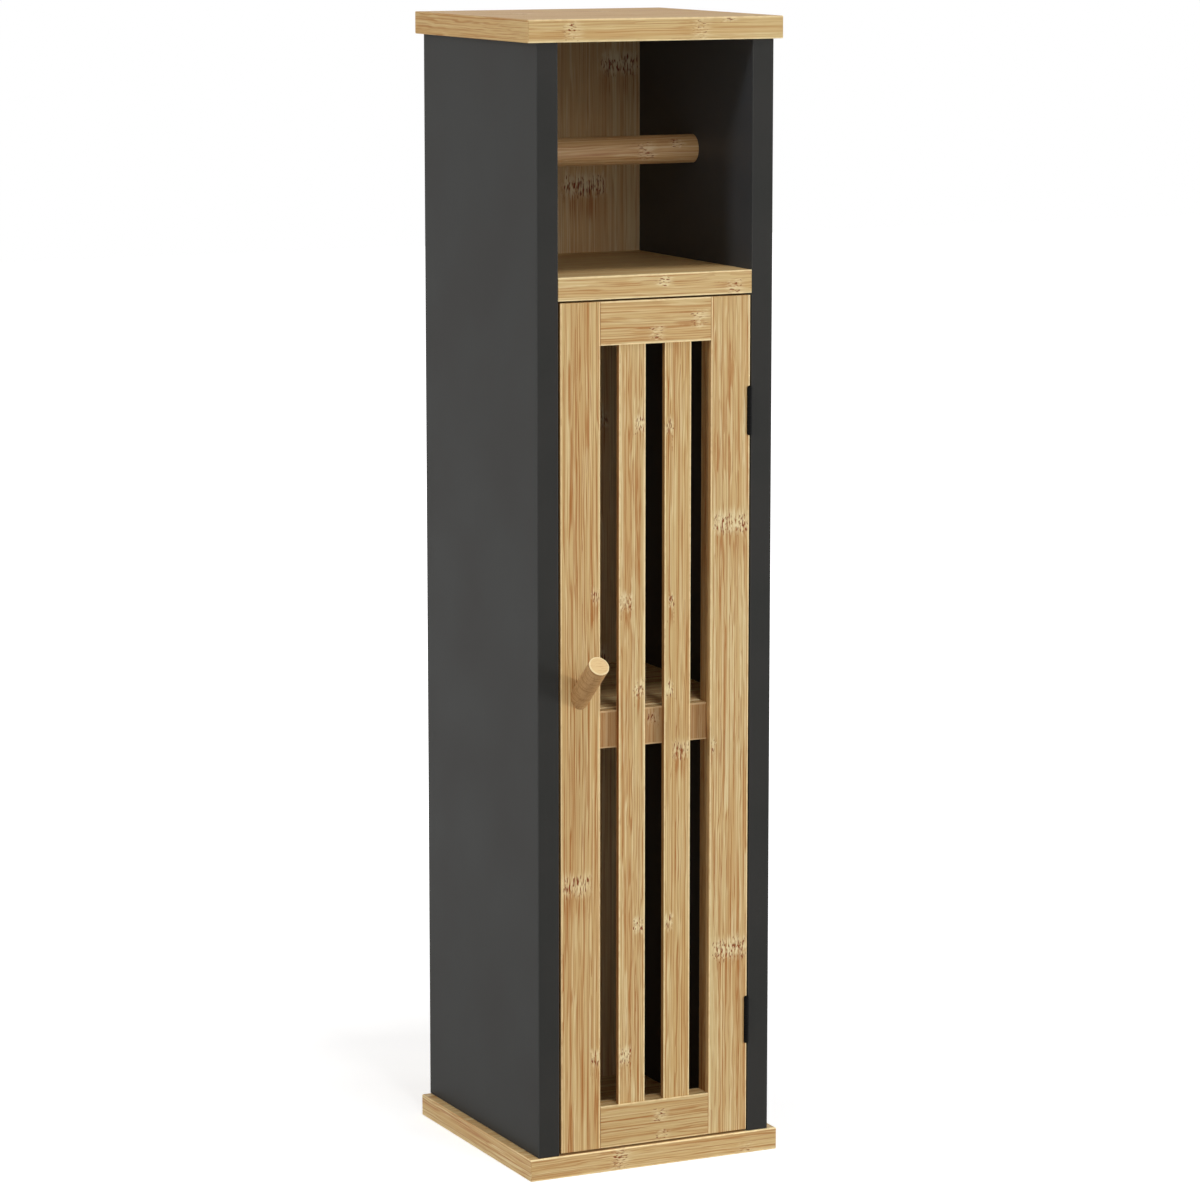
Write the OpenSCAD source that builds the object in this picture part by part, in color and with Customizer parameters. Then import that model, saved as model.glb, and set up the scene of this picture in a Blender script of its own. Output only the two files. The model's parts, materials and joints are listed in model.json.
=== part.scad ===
// Slim toilet roll cabinet: a roll niche over a cupboard with a slatted door.
// Origin: centre of the base board's underside. +Z is up, the door faces -Y, +X is to the right.
// All lengths are in millimetres.

/* [Overall] */
// Height from floor to top surface
cabinet_h = 800; // [700:10:1000]
// Width of the top and base boards
cabinet_w = 192; // [180:2:260]
// Depth of the top and base boards
cabinet_d = 190; // [170:2:240]

/* [Case] */
// Thickness of the top and base boards
board_t = 15.5; // [13:0.5:22]
// Thickness of the two side panels
panel_t = 16; // [14:0.5:20]
// Thickness of the niche shelf and the inner shelf
shelf_t = 16; // [12:0.5:20]
// How far the boards stand past the side panels at each side
side_overhang = 6.5; // [2:0.5:12]
// How far the side panels stand back from the boards' front edges
front_setback = 1.5; // [0.5:0.5:6]
// Thickness of the back panel
back_t = 10; // [6:0.5:14]
// How far the back panel lies in from the case's rear edges
back_setback = 3; // [1:0.5:8]
// How far the back panel reaches into a rebate in each side panel
rebate_w = 8; // [7:0.5:9]
// Bevel that takes the sharpness off the case's edges
case_arris = 0.5; // [0.2:0.1:1]

/* [Roll niche] */
// Clear height of the open niche
niche_h = 157.5; // [130:2.5:200]
// Diameter of the dowel that carries the roll in use
roll_dowel_d = 20; // [14:1:28]
// Height of the roll dowel's axis over the niche shelf
roll_axis_h = 78; // [60:1:95]
// Distance of the roll dowel's axis behind the side panels' front edges
roll_axis_in = 91.5; // [70:0.5:100]
// Depth of the socket in the right side panel
socket_short = 5; // [3:0.5:7]
// Depth of the socket in the left side panel, deep enough to push the dowel in and out
socket_long = 11; // [9:0.5:12]
// How far the roll dowel rests inside the left socket
dowel_seat = 5.5; // [5:0.25:7]

/* [Door] */
// Thickness of the door frame
door_t = 15; // [14:0.5:18]
// Gap between the door and the side panel on the knob side
latch_gap = 1.5; // [1:0.25:3]
// Gap between the door and the side panel on the hinge side
hinge_gap = 1; // [0.8:0.1:1.3]
// Gap between the door and the niche shelf above it
door_gap_top = 1.4; // [0.8:0.1:3]
// Gap between the door and the base board below it
door_gap_bottom = 1.5; // [0.8:0.1:3]
// Gap between the back of the door and the inner shelf's front edge
door_gap_rear = 2; // [1:0.5:6]
// Width of the door's two upright stiles
stile_w = 30; // [26:1:34]
// Height of the door's top and bottom rails
rail_h = 30; // [24:1:40]
// Height of the middle rail behind the slats
middle_rail_h = 26; // [20:1:36]
// Width of each of the two slats
slat_w = 20; // [12:1:24]
// Thickness of a slat
slat_t = 4; // [3.5:0.25:5]
// How far the slats lie behind the frame's front face
slat_recess = 1.2; // [0.8:0.1:2]
// Thickness of the tongue at each end of a slat
tongue_t = 3; // [2:0.25:3.5]
// Length of the tongue at each end of a slat
tongue_l = 5.5; // [3:0.5:8]
// Bevel that takes the sharpness off the door's edges
door_arris = 0.3; // [0.1:0.1:0.6]

/* [Knob] */
// Diameter of the peg knob
knob_d = 14.5; // [12:0.5:18]
// How far the middle of the knob's end stands out from the door
knob_reach = 29.6; // [24:0.2:40]
// Upward tilt of the knob in degrees
knob_tilt = 41; // [30:1:45]
// Height of the knob's foot over the middle of the door
knob_rise = 26.2; // [24:0.2:60]

/* [Hinges] */
// Height of a hinge leaf
hinge_h = 32.2; // [26:0.2:40]
// Distance of each hinge's middle from the door's end
hinge_inset = 80; // [50:1:110]
// Width of a hinge leaf behind the barrel's axis
leaf_w = 13; // [12:0.25:13.75]
// Thickness of a hinge leaf
leaf_t = 1; // [0.8:0.05:1.1]
// Diameter of the hinge barrel
barrel_d = 3.4; // [3.2:0.1:3.8]
// Diameter of the hinge pin
hinge_pin_d = 1.8; // [1.4:0.1:2]
// Number of knuckles in a hinge barrel
knuckle_count = 5; // [3:2:7]
// How far the barrel's axis stands in front of the door's face
axis_out = 0.1; // [0.1:0.1:0.8]
// How far the barrel's axis lies from the side panel's inner face
axis_in = 1.3; // [1.2:0.05:1.5]
// Length of the screws in the hinge leaves
leaf_screw_l = 11; // [8:1:12]

/* [Magnetic catch] */
// Width of the catch over its two ears
catch_w = 40; // [36:1:46]
// Depth of the catch from front to back
catch_depth = 14; // [12:0.5:18]
// Height of the catch under the niche shelf
catch_h = 12; // [11:0.5:14]
// Distance of the catch's middle from the left end of the door's top rail
catch_in = 12; // [12:1:24]
// Thickness of the catch's screw ears
catch_ear_t = 3; // [2:0.5:4]
// Width of the magnet
magnet_w = 20; // [16:1:22]
// Height of the magnet between its two pole plates
magnet_h = 4; // [3:0.5:5]
// Thickness of a pole plate and of the strike plate on the door
steel_t = 0.8; // [0.6:0.1:1]

/* [Fixings] */
// Diameter of the wooden dowels in the case
case_dowel_d = 8; // [6:0.5:8]
// Length of the wooden dowels in the case
case_dowel_l = 25; // [22:1:26]
// How deep a case dowel sits in a side panel or in the top board
case_dowel_in = 10; // [8:0.5:11]
// Distance of a case dowel or base screw from the edges in front of it and behind it
fixing_inset = 35; // [25:1:50]
// Diameter of the wooden dowels in the door frame
door_dowel_d = 5; // [4:0.5:5]
// Length of the wooden dowels in the door frame
door_dowel_l = 24; // [18:1:28]
// Spacing of the pair of dowels in each door joint
door_dowel_pitch = 12; // [10:0.5:12]
// Length of the screws through the base board
base_screw_l = 45; // [35:1:60]
// Length of the screws through the back panel
back_screw_l = 22; // [18:1:28]
// Number of screws up each side of the back panel
back_screws_per_side = 3; // [2:1:5]
// Distance of the end screws in the back panel from its ends
back_screw_inset = 45; // [30:1:70]
// Length of the screw that holds the knob
knob_screw_l = 25; // [22:0.5:25.5]

/* [Hidden] */
// Clearances
glue_gap = 0.05;      // round a glued dowel, a tongue or a screw
end_gap = 0.5;        // past the end of a dowel, a tongue or a screw
running_gap = 0.05;   // round the hinge pin
socket_gap = 0.08;    // round the roll dowel in its sockets
knuckle_gap = 0.2;    // between two knuckles
barrel_gap = 0.3;     // between the hinge barrel and what lies beside or behind it
notch_end_gap = 0.6;  // between the ends of a hinge pin and the door's notch
leaf_gap = 0.3;       // between the two leaves of a closed hinge
mortise_gap = 0.1;    // round a hinge leaf's edges in the wood
catch_air = 0.3;      // between the catch and the strike plate
dowel_end_play = 0.3; // between the roll dowel and the floor of the right socket

// Where the case lies
front = -cabinet_d / 2;
rear = cabinet_d / 2;
case_front = front + front_setback;
inner_x = cabinet_w / 2 - side_overhang - panel_t;
outer_x = inner_x + panel_t;
panel_mid_x = inner_x + panel_t / 2;
base_top = board_t;
top_under = cabinet_h - board_t;
niche_floor = top_under - niche_h;
niche_under = niche_floor - shelf_t;
back_face = rear - back_setback - back_t;
fixing_y = [case_front + fixing_inset, back_face - fixing_inset];

// Where the door lies
door_x0 = -inner_x + latch_gap;
door_x1 = inner_x - hinge_gap;
door_z0 = base_top + door_gap_bottom;
door_z1 = niche_under - door_gap_top;
door_front = case_front;
door_rear = door_front + door_t;
door_mid_z = (door_z0 + door_z1) / 2;
open_x0 = door_x0 + stile_w;
open_x1 = door_x1 - stile_w;
open_z0 = door_z0 + rail_h;
open_z1 = door_z1 - rail_h;
slat_front = door_front + slat_recess;
slat_rear = slat_front + slat_t;
slat_gap = (open_x1 - open_x0 - 2 * slat_w) / 3;
middle_z0 = door_mid_z - middle_rail_h / 2;
middle_z1 = door_mid_z + middle_rail_h / 2;
door_dowel_y = (slat_rear + door_rear) / 2;

// Where the inner shelf lies: level with the top of the door's middle rail
inner_shelf_z1 = middle_z1;
inner_shelf_front = door_rear + door_gap_rear;

// Roll dowel
roll_y = case_front + roll_axis_in;
roll_z = niche_floor + roll_axis_h;
roll_x0 = -inner_x - dowel_seat;
roll_x1 = inner_x + socket_short - dowel_end_play;
roll_end_bevel = 0.8;

// Knob
knob_x = door_x0 + stile_w / 2;
knob_z = door_mid_z + knob_rise;
knob_l = knob_reach / cos(knob_tilt);
knob_screw_up = 4;    // over the knob's foot, where the tilted peg is thickest behind it

// Hinges
hinge_z = [door_z0 + hinge_inset, door_z1 - hinge_inset];
axis_x = inner_x - axis_in;
axis_y = door_front - axis_out;
barrel_r = barrel_d / 2;
frame_leaf_x1 = axis_x + barrel_r + barrel_gap;
frame_leaf_x0 = frame_leaf_x1 - leaf_t;
door_leaf_x1 = frame_leaf_x0 - leaf_gap;
door_leaf_x0 = door_leaf_x1 - leaf_t;
plate_y0 = axis_y + barrel_r + barrel_gap;
plate_y1 = axis_y + leaf_w;
plate_mid_y = (plate_y0 + plate_y1) / 2;
pin_head_h = 0.5;
pin_head_r = 1.25;
notch_half_h = hinge_h / 2 + pin_head_h + notch_end_gap;
leaf_screw_inset = 7.5; // from a leaf's ends

// Magnetic catch
pole_proud = 0.2;     // how far the pole plates stand in front of the housing
magnet_cover = 3;     // how much of the housing lies behind the magnet
ear_w = 7;            // width of a screw ear
catch_x = open_x0 + catch_in;
catch_body_w = catch_w - 2 * ear_w;
catch_front = door_rear + steel_t + catch_air;
magnet_z = niche_under - catch_h / 2;
strike_w = magnet_w + 2;
strike_h = magnet_h + 2 * steel_t + 2;
catch_screw_l = 13;
strike_screw_l = 9;

// Screws: shank diameter and head diameter
BASE_SCREW = [4, 8];
BACK_SCREW = [3, 6];
KNOB_SCREW = [3, 6];
LEAF_SCREW = [2.4, 4];
CATCH_SCREW = [2.5, 5];
STRIKE_SCREW = [2.2, 4];

// Colours
bamboo = [0.79, 0.66, 0.46];
bamboo_end = [0.72, 0.58, 0.38];
charcoal = [0.22, 0.22, 0.21];
black = [0.06, 0.06, 0.06];
steel = [0.68, 0.68, 0.70];
beech = [0.82, 0.70, 0.52];
magnet_grey = [0.30, 0.30, 0.32];

$fn = 48;

// ---- Shapes that several pieces share ----

// Rectangle from p to q with its corners cut off by e
module eased_rect(p, q, e) {
    polygon([
        [p.x + e, p.y], [q.x - e, p.y], [q.x, p.y + e], [q.x, q.y - e],
        [q.x - e, q.y], [p.x + e, q.y], [p.x, q.y - e], [p.x, p.y + e]
    ]);
}

// Box from corner p to corner q with all its edges bevelled by e
module eased_box(p, q, e) {
    intersection() {
        translate([0, 0, p.z])
            linear_extrude(q.z - p.z) eased_rect([p.x, p.y], [q.x, q.y], e);
        translate([0, q.y, 0]) rotate([90, 0, 0])
            linear_extrude(q.y - p.y) eased_rect([p.x, p.z], [q.x, q.z], e);
        translate([p.x, 0, 0]) rotate([90, 0, 90])
            linear_extrude(q.x - p.x) eased_rect([p.y, p.z], [q.y, q.z], e);
    }
}

// Box from corner p to corner q
module block(p, q) {
    translate(p) cube(q - p);
}

// Cylinder along +X, +Y or +Z from a point
module rod_x(p, r, l) {
    translate(p) rotate([0, 90, 0]) cylinder(r = r, h = l);
}
module rod_y(p, r, l) {
    translate(p) rotate([-90, 0, 0]) cylinder(r = r, h = l);
}
module rod_z(p, r, l) {
    translate(p) cylinder(r = r, h = l);
}

// Countersunk screw with a cross recess: its head's face is at the origin and it points down -Z
module screw(s, l) {
    shank_r = s[0] / 2;
    head_r = s[1] / 2;
    head_h = head_r - shank_r;
    tip_h = shank_r * 1.5;
    slot_w = s[1] * 0.14;
    slot_l = s[1] * 0.56;
    difference() {
        union() {
            translate([0, 0, -head_h]) cylinder(r1 = shank_r, r2 = head_r, h = head_h);
            translate([0, 0, tip_h - l]) cylinder(r = shank_r, h = l - tip_h - head_h);
            translate([0, 0, -l]) cylinder(r1 = shank_r * 0.15, r2 = shank_r, h = tip_h);
        }
        for (a = [0, 90]) rotate([0, 0, a])
            translate([-slot_l / 2, -slot_w / 2, -head_h * 0.7]) cube([slot_l, slot_w, head_h]);
    }
}

// The hole for such a screw, with a countersink for its head
module screw_hole(s, l) {
    shank_r = s[0] / 2 + glue_gap;
    head_r = s[1] / 2 + glue_gap;
    head_h = head_r - shank_r;
    translate([0, 0, -l - end_gap]) cylinder(r = shank_r, h = l + end_gap);
    translate([0, 0, -head_h]) cylinder(r1 = shank_r, r2 = head_r, h = head_h);
    cylinder(r = head_r, h = end_gap);
}

// ---- Places of the fixings: each turns its child to point down -Z at every place ----

module at_base_screws() {
    for (x = [-panel_mid_x, panel_mid_x], y = fixing_y)
        translate([x, y, 0]) mirror([0, 0, 1]) children();
}

module at_back_screws() {
    step = (top_under - base_top - 2 * back_screw_inset) / (back_screws_per_side - 1);
    for (x = [-1, 1] * (inner_x + rebate_w / 2), i = [0 : back_screws_per_side - 1])
        translate([x, back_face + back_t, base_top + back_screw_inset + i * step])
            rotate([-90, 0, 0]) children();
}

module at_leaf_screws(x, turn) {
    for (z = hinge_z, s = [-1, 1])
        translate([x, plate_mid_y, z + s * (hinge_h / 2 - leaf_screw_inset)]) rotate([0, turn, 0]) children();
}

module at_catch_screws() {
    for (s = [-1, 1])
        translate([
            catch_x + s * (catch_w - ear_w) / 2,
            catch_front + catch_depth / 2,
            niche_under - catch_ear_t
        ]) mirror([0, 0, 1]) children();
}

module at_knob_screw() {
    translate([knob_x, door_rear, knob_z + knob_screw_up]) rotate([-90, 0, 0]) children();
}

module at_strike_screw() {
    translate([catch_x, door_rear + steel_t, magnet_z]) rotate([-90, 0, 0]) children();
}

// Case dowels lie along X at both ends of both shelves; grow widens and lengthens them into bores
module shelf_dowels(grow_r, grow_l) {
    for (z = [niche_floor - shelf_t / 2, inner_shelf_z1 - shelf_t / 2], y = fixing_y) {
        rod_x([inner_x + case_dowel_in - case_dowel_l - grow_l, y, z],
            case_dowel_d / 2 + grow_r, case_dowel_l + 2 * grow_l);
        rod_x([-inner_x - case_dowel_in - grow_l, y, z],
            case_dowel_d / 2 + grow_r, case_dowel_l + 2 * grow_l);
    }
}

// Dowels that stand in the side panels' top edges and in the top board
module upright_dowels(grow_r, grow_l) {
    for (x = [-panel_mid_x, panel_mid_x], y = fixing_y)
        rod_z([x, y, top_under + case_dowel_in - case_dowel_l - grow_l],
            case_dowel_d / 2 + grow_r, case_dowel_l + 2 * grow_l);
}

// A pair of dowels across each of the six joints between stiles and rails
module frame_dowels(grow_r, grow_l) {
    for (x = [open_x0, open_x1], z = [door_z0 + rail_h / 2, door_mid_z, door_z1 - rail_h / 2], s = [-1, 1])
        rod_x([x - door_dowel_l / 2 - grow_l, door_dowel_y, z + s * door_dowel_pitch / 2],
            door_dowel_d / 2 + grow_r, door_dowel_l + 2 * grow_l);
}

// ---- Case ----

module base_board() {
    color(bamboo) difference() {
        eased_box([-cabinet_w / 2, front, 0], [cabinet_w / 2, rear, board_t], case_arris);
        at_base_screws() screw_hole(BASE_SCREW, base_screw_l);
    }
}

module top_board() {
    color(bamboo) difference() {
        eased_box([-cabinet_w / 2, front, top_under], [cabinet_w / 2, rear, cabinet_h], case_arris);
        upright_dowels(glue_gap, end_gap);
    }
}

// Right side panel without its roll socket; the left one is its mirror image
module side_panel() {
    difference() {
        eased_box([inner_x, case_front, base_top], [outer_x, rear, top_under], case_arris);
        block([inner_x - 1, back_face, base_top - 1], [inner_x + rebate_w, rear + 1, top_under + 1]);
        at_base_screws() screw_hole(BASE_SCREW, base_screw_l);
        at_back_screws() screw_hole(BACK_SCREW, back_screw_l);
        shelf_dowels(glue_gap, end_gap);
        upright_dowels(glue_gap, end_gap);
    }
}

module left_panel() {
    color(charcoal) difference() {
        mirror([1, 0, 0]) side_panel();
        rod_x([-inner_x - socket_long, roll_y, roll_z], roll_dowel_d / 2 + socket_gap, socket_long + 1);
    }
}

module right_panel() {
    color(charcoal) difference() {
        side_panel();
        rod_x([inner_x - 1, roll_y, roll_z], roll_dowel_d / 2 + socket_gap, socket_short + 1);
        for (z = hinge_z) leaf_mortise(inner_x - 1, frame_leaf_x1, z);
        at_leaf_screws(frame_leaf_x0, -90) screw_hole(LEAF_SCREW, leaf_screw_l);
    }
}

module back_panel() {
    half_w = inner_x + rebate_w - glue_gap;
    color(bamboo) difference() {
        block([-half_w, back_face, base_top], [half_w, back_face + back_t, top_under]);
        at_back_screws() screw_hole(BACK_SCREW, back_screw_l);
    }
}

module shelf(y0, z1) {
    difference() {
        eased_box([-inner_x, y0, z1 - shelf_t], [inner_x, back_face, z1], door_arris);
        shelf_dowels(glue_gap, end_gap);
    }
}

module niche_shelf() {
    color(bamboo) difference() {
        shelf(case_front, niche_floor);
        at_catch_screws() screw_hole(CATCH_SCREW, catch_screw_l);
    }
}

module inner_shelf() {
    color(bamboo) shelf(inner_shelf_front, inner_shelf_z1);
}

module roll_dowel() {
    r = roll_dowel_d / 2;
    l = roll_x1 - roll_x0;
    e = roll_end_bevel;
    color(bamboo) translate([roll_x0, roll_y, roll_z]) rotate([0, 90, 0])
        rotate_extrude($fn = 96) polygon([[0, 0], [r - e, 0], [r, e], [r, l - e], [r - e, l], [0, l]]);
}

// ---- Door ----

module stile(x0) {
    difference() {
        eased_box([x0, door_front, door_z0], [x0 + stile_w, door_rear, door_z1], door_arris);
        frame_dowels(glue_gap, end_gap);
    }
}

// Shallow recess for one hinge leaf, from x0 to x1 and open to the front
module leaf_mortise(x0, x1, z) {
    h = hinge_h / 2 + mortise_gap;
    block([x0, case_front - 1, z - h], [x1, plate_y1 + mortise_gap, z + h]);
}

// Notch for one hinge barrel in the stile's front corner, with its inner corners cut off
module barrel_notch(z) {
    w = door_x1 + 1 - axis_x + barrel_r + barrel_gap;
    h = notch_half_h;
    corner = notch_end_gap;
    translate([door_x1 + 1 - w, plate_y0, z]) rotate([90, 0, 0])
        linear_extrude(plate_y0 - door_front + 1)
            polygon([[0, corner - h], [corner, -h], [w, -h], [w, h], [corner, h], [0, h - corner]]);
}

module hinge_stile() {
    color(bamboo) difference() {
        stile(open_x1);
        for (z = hinge_z) {
            barrel_notch(z);
            leaf_mortise(door_leaf_x0, door_x1 + 1, z);
        }
        at_leaf_screws(door_leaf_x1, 90) screw_hole(LEAF_SCREW, leaf_screw_l);
    }
}

module latch_stile() {
    color(bamboo) difference() {
        stile(door_x0);
        at_knob_screw() screw_hole(KNOB_SCREW, knob_screw_l);
    }
}

// Rail between the stiles from z0 to z1, with a groove for the slats' tongues cut to groove_l over an edge
module grooved_rail(z0, z1, groove_z) {
    groove_l = tongue_l + end_gap;
    difference() {
        eased_box([open_x0, door_front, z0], [open_x1, door_rear, z1], door_arris);
        block([open_x0 - 1, slat_front - glue_gap, groove_z - groove_l],
            [open_x1 + 1, slat_front + tongue_t + glue_gap, groove_z + groove_l]);
        frame_dowels(glue_gap, end_gap);
    }
}

module top_rail() {
    color(bamboo) difference() {
        grooved_rail(open_z1, door_z1, open_z1);
        at_strike_screw() screw_hole(STRIKE_SCREW, strike_screw_l);
    }
}

module bottom_rail() {
    color(bamboo) grooved_rail(door_z0, open_z0, open_z0);
}

module middle_rail() {
    color(bamboo) difference() {
        eased_box([open_x0, slat_rear, middle_z0], [open_x1, door_rear, middle_z1], door_arris);
        frame_dowels(glue_gap, end_gap);
    }
}

// Slat from x0, with a thinner tongue at each end that is flush with its front
module slat(x0) {
    block([x0, slat_front, open_z0], [x0 + slat_w, slat_rear, open_z1]);
    block([x0, slat_front, open_z0 - tongue_l], [x0 + slat_w, slat_front + tongue_t, open_z1 + tongue_l]);
}

module left_slat() {
    color(bamboo) slat(open_x0 + slat_gap);
}

module right_slat() {
    color(bamboo) slat(open_x1 - slat_gap - slat_w);
}

// Peg cut square at its end and along the door's face at its foot
module knob() {
    r = knob_d / 2;
    e = 0.4;
    buried = knob_d * tan(knob_tilt);
    color(bamboo_end) difference() {
        translate([knob_x, door_front, knob_z]) rotate([90 - knob_tilt, 0, 0])
            translate([0, 0, -buried]) rotate_extrude($fn = 72)
                polygon([[0, 0], [r, 0], [r, buried + knob_l - e], [r - e, buried + knob_l], [0, buried + knob_l]]);
        block([knob_x - knob_d, door_front, knob_z - 4 * knob_d],
            [knob_x + knob_d, door_front + 4 * knob_d, knob_z + 4 * knob_d]);
        at_knob_screw() screw_hole(KNOB_SCREW, knob_screw_l);
    }
}

module knob_screw() {
    color(steel) at_knob_screw() screw(KNOB_SCREW, knob_screw_l);
}

// ---- Hinges ----

// A leaf whose plate lies from x0, with every second knuckle of the barrel, from number first on
module hinge_leaf(x0, z, first) {
    pitch = hinge_h / knuckle_count;
    z0 = z - hinge_h / 2;
    root_y = axis_y + barrel_r / 4;
    block([x0, plate_y0, z0], [x0 + leaf_t, plate_y1, z0 + hinge_h]);
    for (i = [first : 2 : knuckle_count - 1]) {
        k0 = z0 + i * pitch + (i == 0 ? 0 : knuckle_gap / 2);
        k1 = z0 + (i + 1) * pitch - (i == knuckle_count - 1 ? 0 : knuckle_gap / 2);
        difference() {
            union() {
                rod_z([axis_x, axis_y, k0], barrel_r, k1 - k0);
                block([x0, root_y, k0], [x0 + leaf_t, plate_y0 + leaf_t, k1]);
            }
            rod_z([axis_x, axis_y, k0 - 1], hinge_pin_d / 2 + running_gap, k1 - k0 + 2);
        }
    }
}

module frame_leaf(z) {
    color(black) difference() {
        hinge_leaf(frame_leaf_x0, z, 0);
        at_leaf_screws(frame_leaf_x0, -90) screw_hole(LEAF_SCREW, leaf_screw_l);
    }
}

module door_leaf(z) {
    color(black) difference() {
        hinge_leaf(door_leaf_x0, z, 1);
        at_leaf_screws(door_leaf_x1, 90) screw_hole(LEAF_SCREW, leaf_screw_l);
    }
}

// Hinge pin with a flat head at each end
module hinge_pin(z) {
    color(black) {
        rod_z([axis_x, axis_y, z - hinge_h / 2 - pin_head_h], hinge_pin_d / 2, hinge_h + 2 * pin_head_h);
        rod_z([axis_x, axis_y, z - hinge_h / 2 - pin_head_h], pin_head_r, pin_head_h);
        rod_z([axis_x, axis_y, z + hinge_h / 2], pin_head_r, pin_head_h);
    }
}

module upper_frame_leaf() { frame_leaf(hinge_z[1]); }
module upper_door_leaf() { door_leaf(hinge_z[1]); }
module upper_hinge_pin() { hinge_pin(hinge_z[1]); }
module lower_frame_leaf() { frame_leaf(hinge_z[0]); }
module lower_door_leaf() { door_leaf(hinge_z[0]); }
module lower_hinge_pin() { hinge_pin(hinge_z[0]); }

module frame_leaf_screws() {
    color(black) at_leaf_screws(frame_leaf_x0, -90) screw(LEAF_SCREW, leaf_screw_l);
}

module door_leaf_screws() {
    color(black) at_leaf_screws(door_leaf_x1, 90) screw(LEAF_SCREW, leaf_screw_l);
}

// ---- Magnetic catch ----

// Slot through the housing for the magnet and its poles, grown by gap all round but at the front
module magnet_slot(gap) {
    block([catch_x - magnet_w / 2 - gap, catch_front - 1, magnet_z - magnet_h / 2 - steel_t - gap],
        [catch_x + magnet_w / 2 + gap, catch_front + catch_depth - magnet_cover, magnet_z + magnet_h / 2 + steel_t + gap]);
}

module catch_housing() {
    color(black) difference() {
        union() {
            block([catch_x - catch_body_w / 2, catch_front, niche_under - catch_h],
                [catch_x + catch_body_w / 2, catch_front + catch_depth, niche_under]);
            block([catch_x - catch_w / 2, catch_front, niche_under - catch_ear_t],
                [catch_x + catch_w / 2, catch_front + catch_depth, niche_under]);
        }
        magnet_slot(glue_gap);
        at_catch_screws() screw_hole(CATCH_SCREW, catch_screw_l);
    }
}

module catch_magnet() {
    color(magnet_grey)
        block([catch_x - magnet_w / 2, catch_front, magnet_z - magnet_h / 2],
            [catch_x + magnet_w / 2, catch_front + catch_depth - magnet_cover, magnet_z + magnet_h / 2]);
}

// Steel plate against the magnet, from z up
module pole_plate(z) {
    color(steel) block([catch_x - magnet_w / 2, catch_front - pole_proud, z],
        [catch_x + magnet_w / 2, catch_front + catch_depth - magnet_cover, z + steel_t]);
}

module upper_pole_plate() { pole_plate(magnet_z + magnet_h / 2); }
module lower_pole_plate() { pole_plate(magnet_z - magnet_h / 2 - steel_t); }

module catch_screws() {
    color(steel) at_catch_screws() screw(CATCH_SCREW, catch_screw_l);
}

module strike_plate() {
    color(steel) difference() {
        block([catch_x - strike_w / 2, door_rear, magnet_z - strike_h / 2],
            [catch_x + strike_w / 2, door_rear + steel_t, magnet_z + strike_h / 2]);
        at_strike_screw() screw_hole(STRIKE_SCREW, strike_screw_l);
    }
}

module strike_screw() {
    color(steel) at_strike_screw() screw(STRIKE_SCREW, strike_screw_l);
}

// ---- Fixings ----

module case_dowels() {
    color(beech) shelf_dowels(0, 0);
}

module top_dowels() {
    color(beech) upright_dowels(0, 0);
}

module door_dowels() {
    color(beech) frame_dowels(0, 0);
}

module base_screws() {
    color(steel) at_base_screws() screw(BASE_SCREW, base_screw_l);
}

module back_screws() {
    color(steel) at_back_screws() screw(BACK_SCREW, back_screw_l);
}

base_board();
top_board();
left_panel();
right_panel();
back_panel();
niche_shelf();
inner_shelf();
roll_dowel();
hinge_stile();
latch_stile();
top_rail();
middle_rail();
bottom_rail();
left_slat();
right_slat();
knob();
knob_screw();
upper_frame_leaf();
upper_door_leaf();
upper_hinge_pin();
lower_frame_leaf();
lower_door_leaf();
lower_hinge_pin();
frame_leaf_screws();
door_leaf_screws();
catch_housing();
catch_magnet();
upper_pole_plate();
lower_pole_plate();
catch_screws();
strike_plate();
strike_screw();
case_dowels();
top_dowels();
door_dowels();
base_screws();
back_screws();
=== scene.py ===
"""Looks of a slim toilet roll cabinet: bamboo boards, back and slatted door between charcoal side panels.

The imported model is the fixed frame. This script dresses its nodes, sets up a pale studio and places its
camera. The studio is in metres of the row frame, and finishes are worked out in its millimetres.
"""

from __future__ import annotations

import json
import logging
import math
from dataclasses import dataclass, replace
from enum import Enum
from typing import Protocol

import bpy
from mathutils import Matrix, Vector

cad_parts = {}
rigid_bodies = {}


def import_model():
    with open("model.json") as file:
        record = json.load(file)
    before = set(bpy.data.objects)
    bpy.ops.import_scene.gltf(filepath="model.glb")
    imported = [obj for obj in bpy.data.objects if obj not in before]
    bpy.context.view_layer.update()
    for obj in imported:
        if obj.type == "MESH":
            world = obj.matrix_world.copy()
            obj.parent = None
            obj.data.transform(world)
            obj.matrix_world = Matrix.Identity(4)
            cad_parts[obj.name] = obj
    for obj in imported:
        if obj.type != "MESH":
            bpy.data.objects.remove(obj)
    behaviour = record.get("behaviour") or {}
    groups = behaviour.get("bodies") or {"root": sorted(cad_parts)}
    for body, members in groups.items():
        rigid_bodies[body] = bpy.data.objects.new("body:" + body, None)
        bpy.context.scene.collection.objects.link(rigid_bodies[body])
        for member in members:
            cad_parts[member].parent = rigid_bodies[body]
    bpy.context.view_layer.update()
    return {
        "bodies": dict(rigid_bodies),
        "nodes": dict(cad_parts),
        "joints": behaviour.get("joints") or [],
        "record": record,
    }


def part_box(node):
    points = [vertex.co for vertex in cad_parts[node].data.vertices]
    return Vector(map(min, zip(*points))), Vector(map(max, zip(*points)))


LOG = logging.getLogger("toilet_roll_cabinet")
MM_PER_M = 1000.0

Socket = bpy.types.NodeSocket
Number = Socket | float
Colour = tuple[float, float, float, float]
Paint = Socket | Colour
Point = tuple[Socket, Socket, Socket]
Box = tuple[Vector, Vector]

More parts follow.
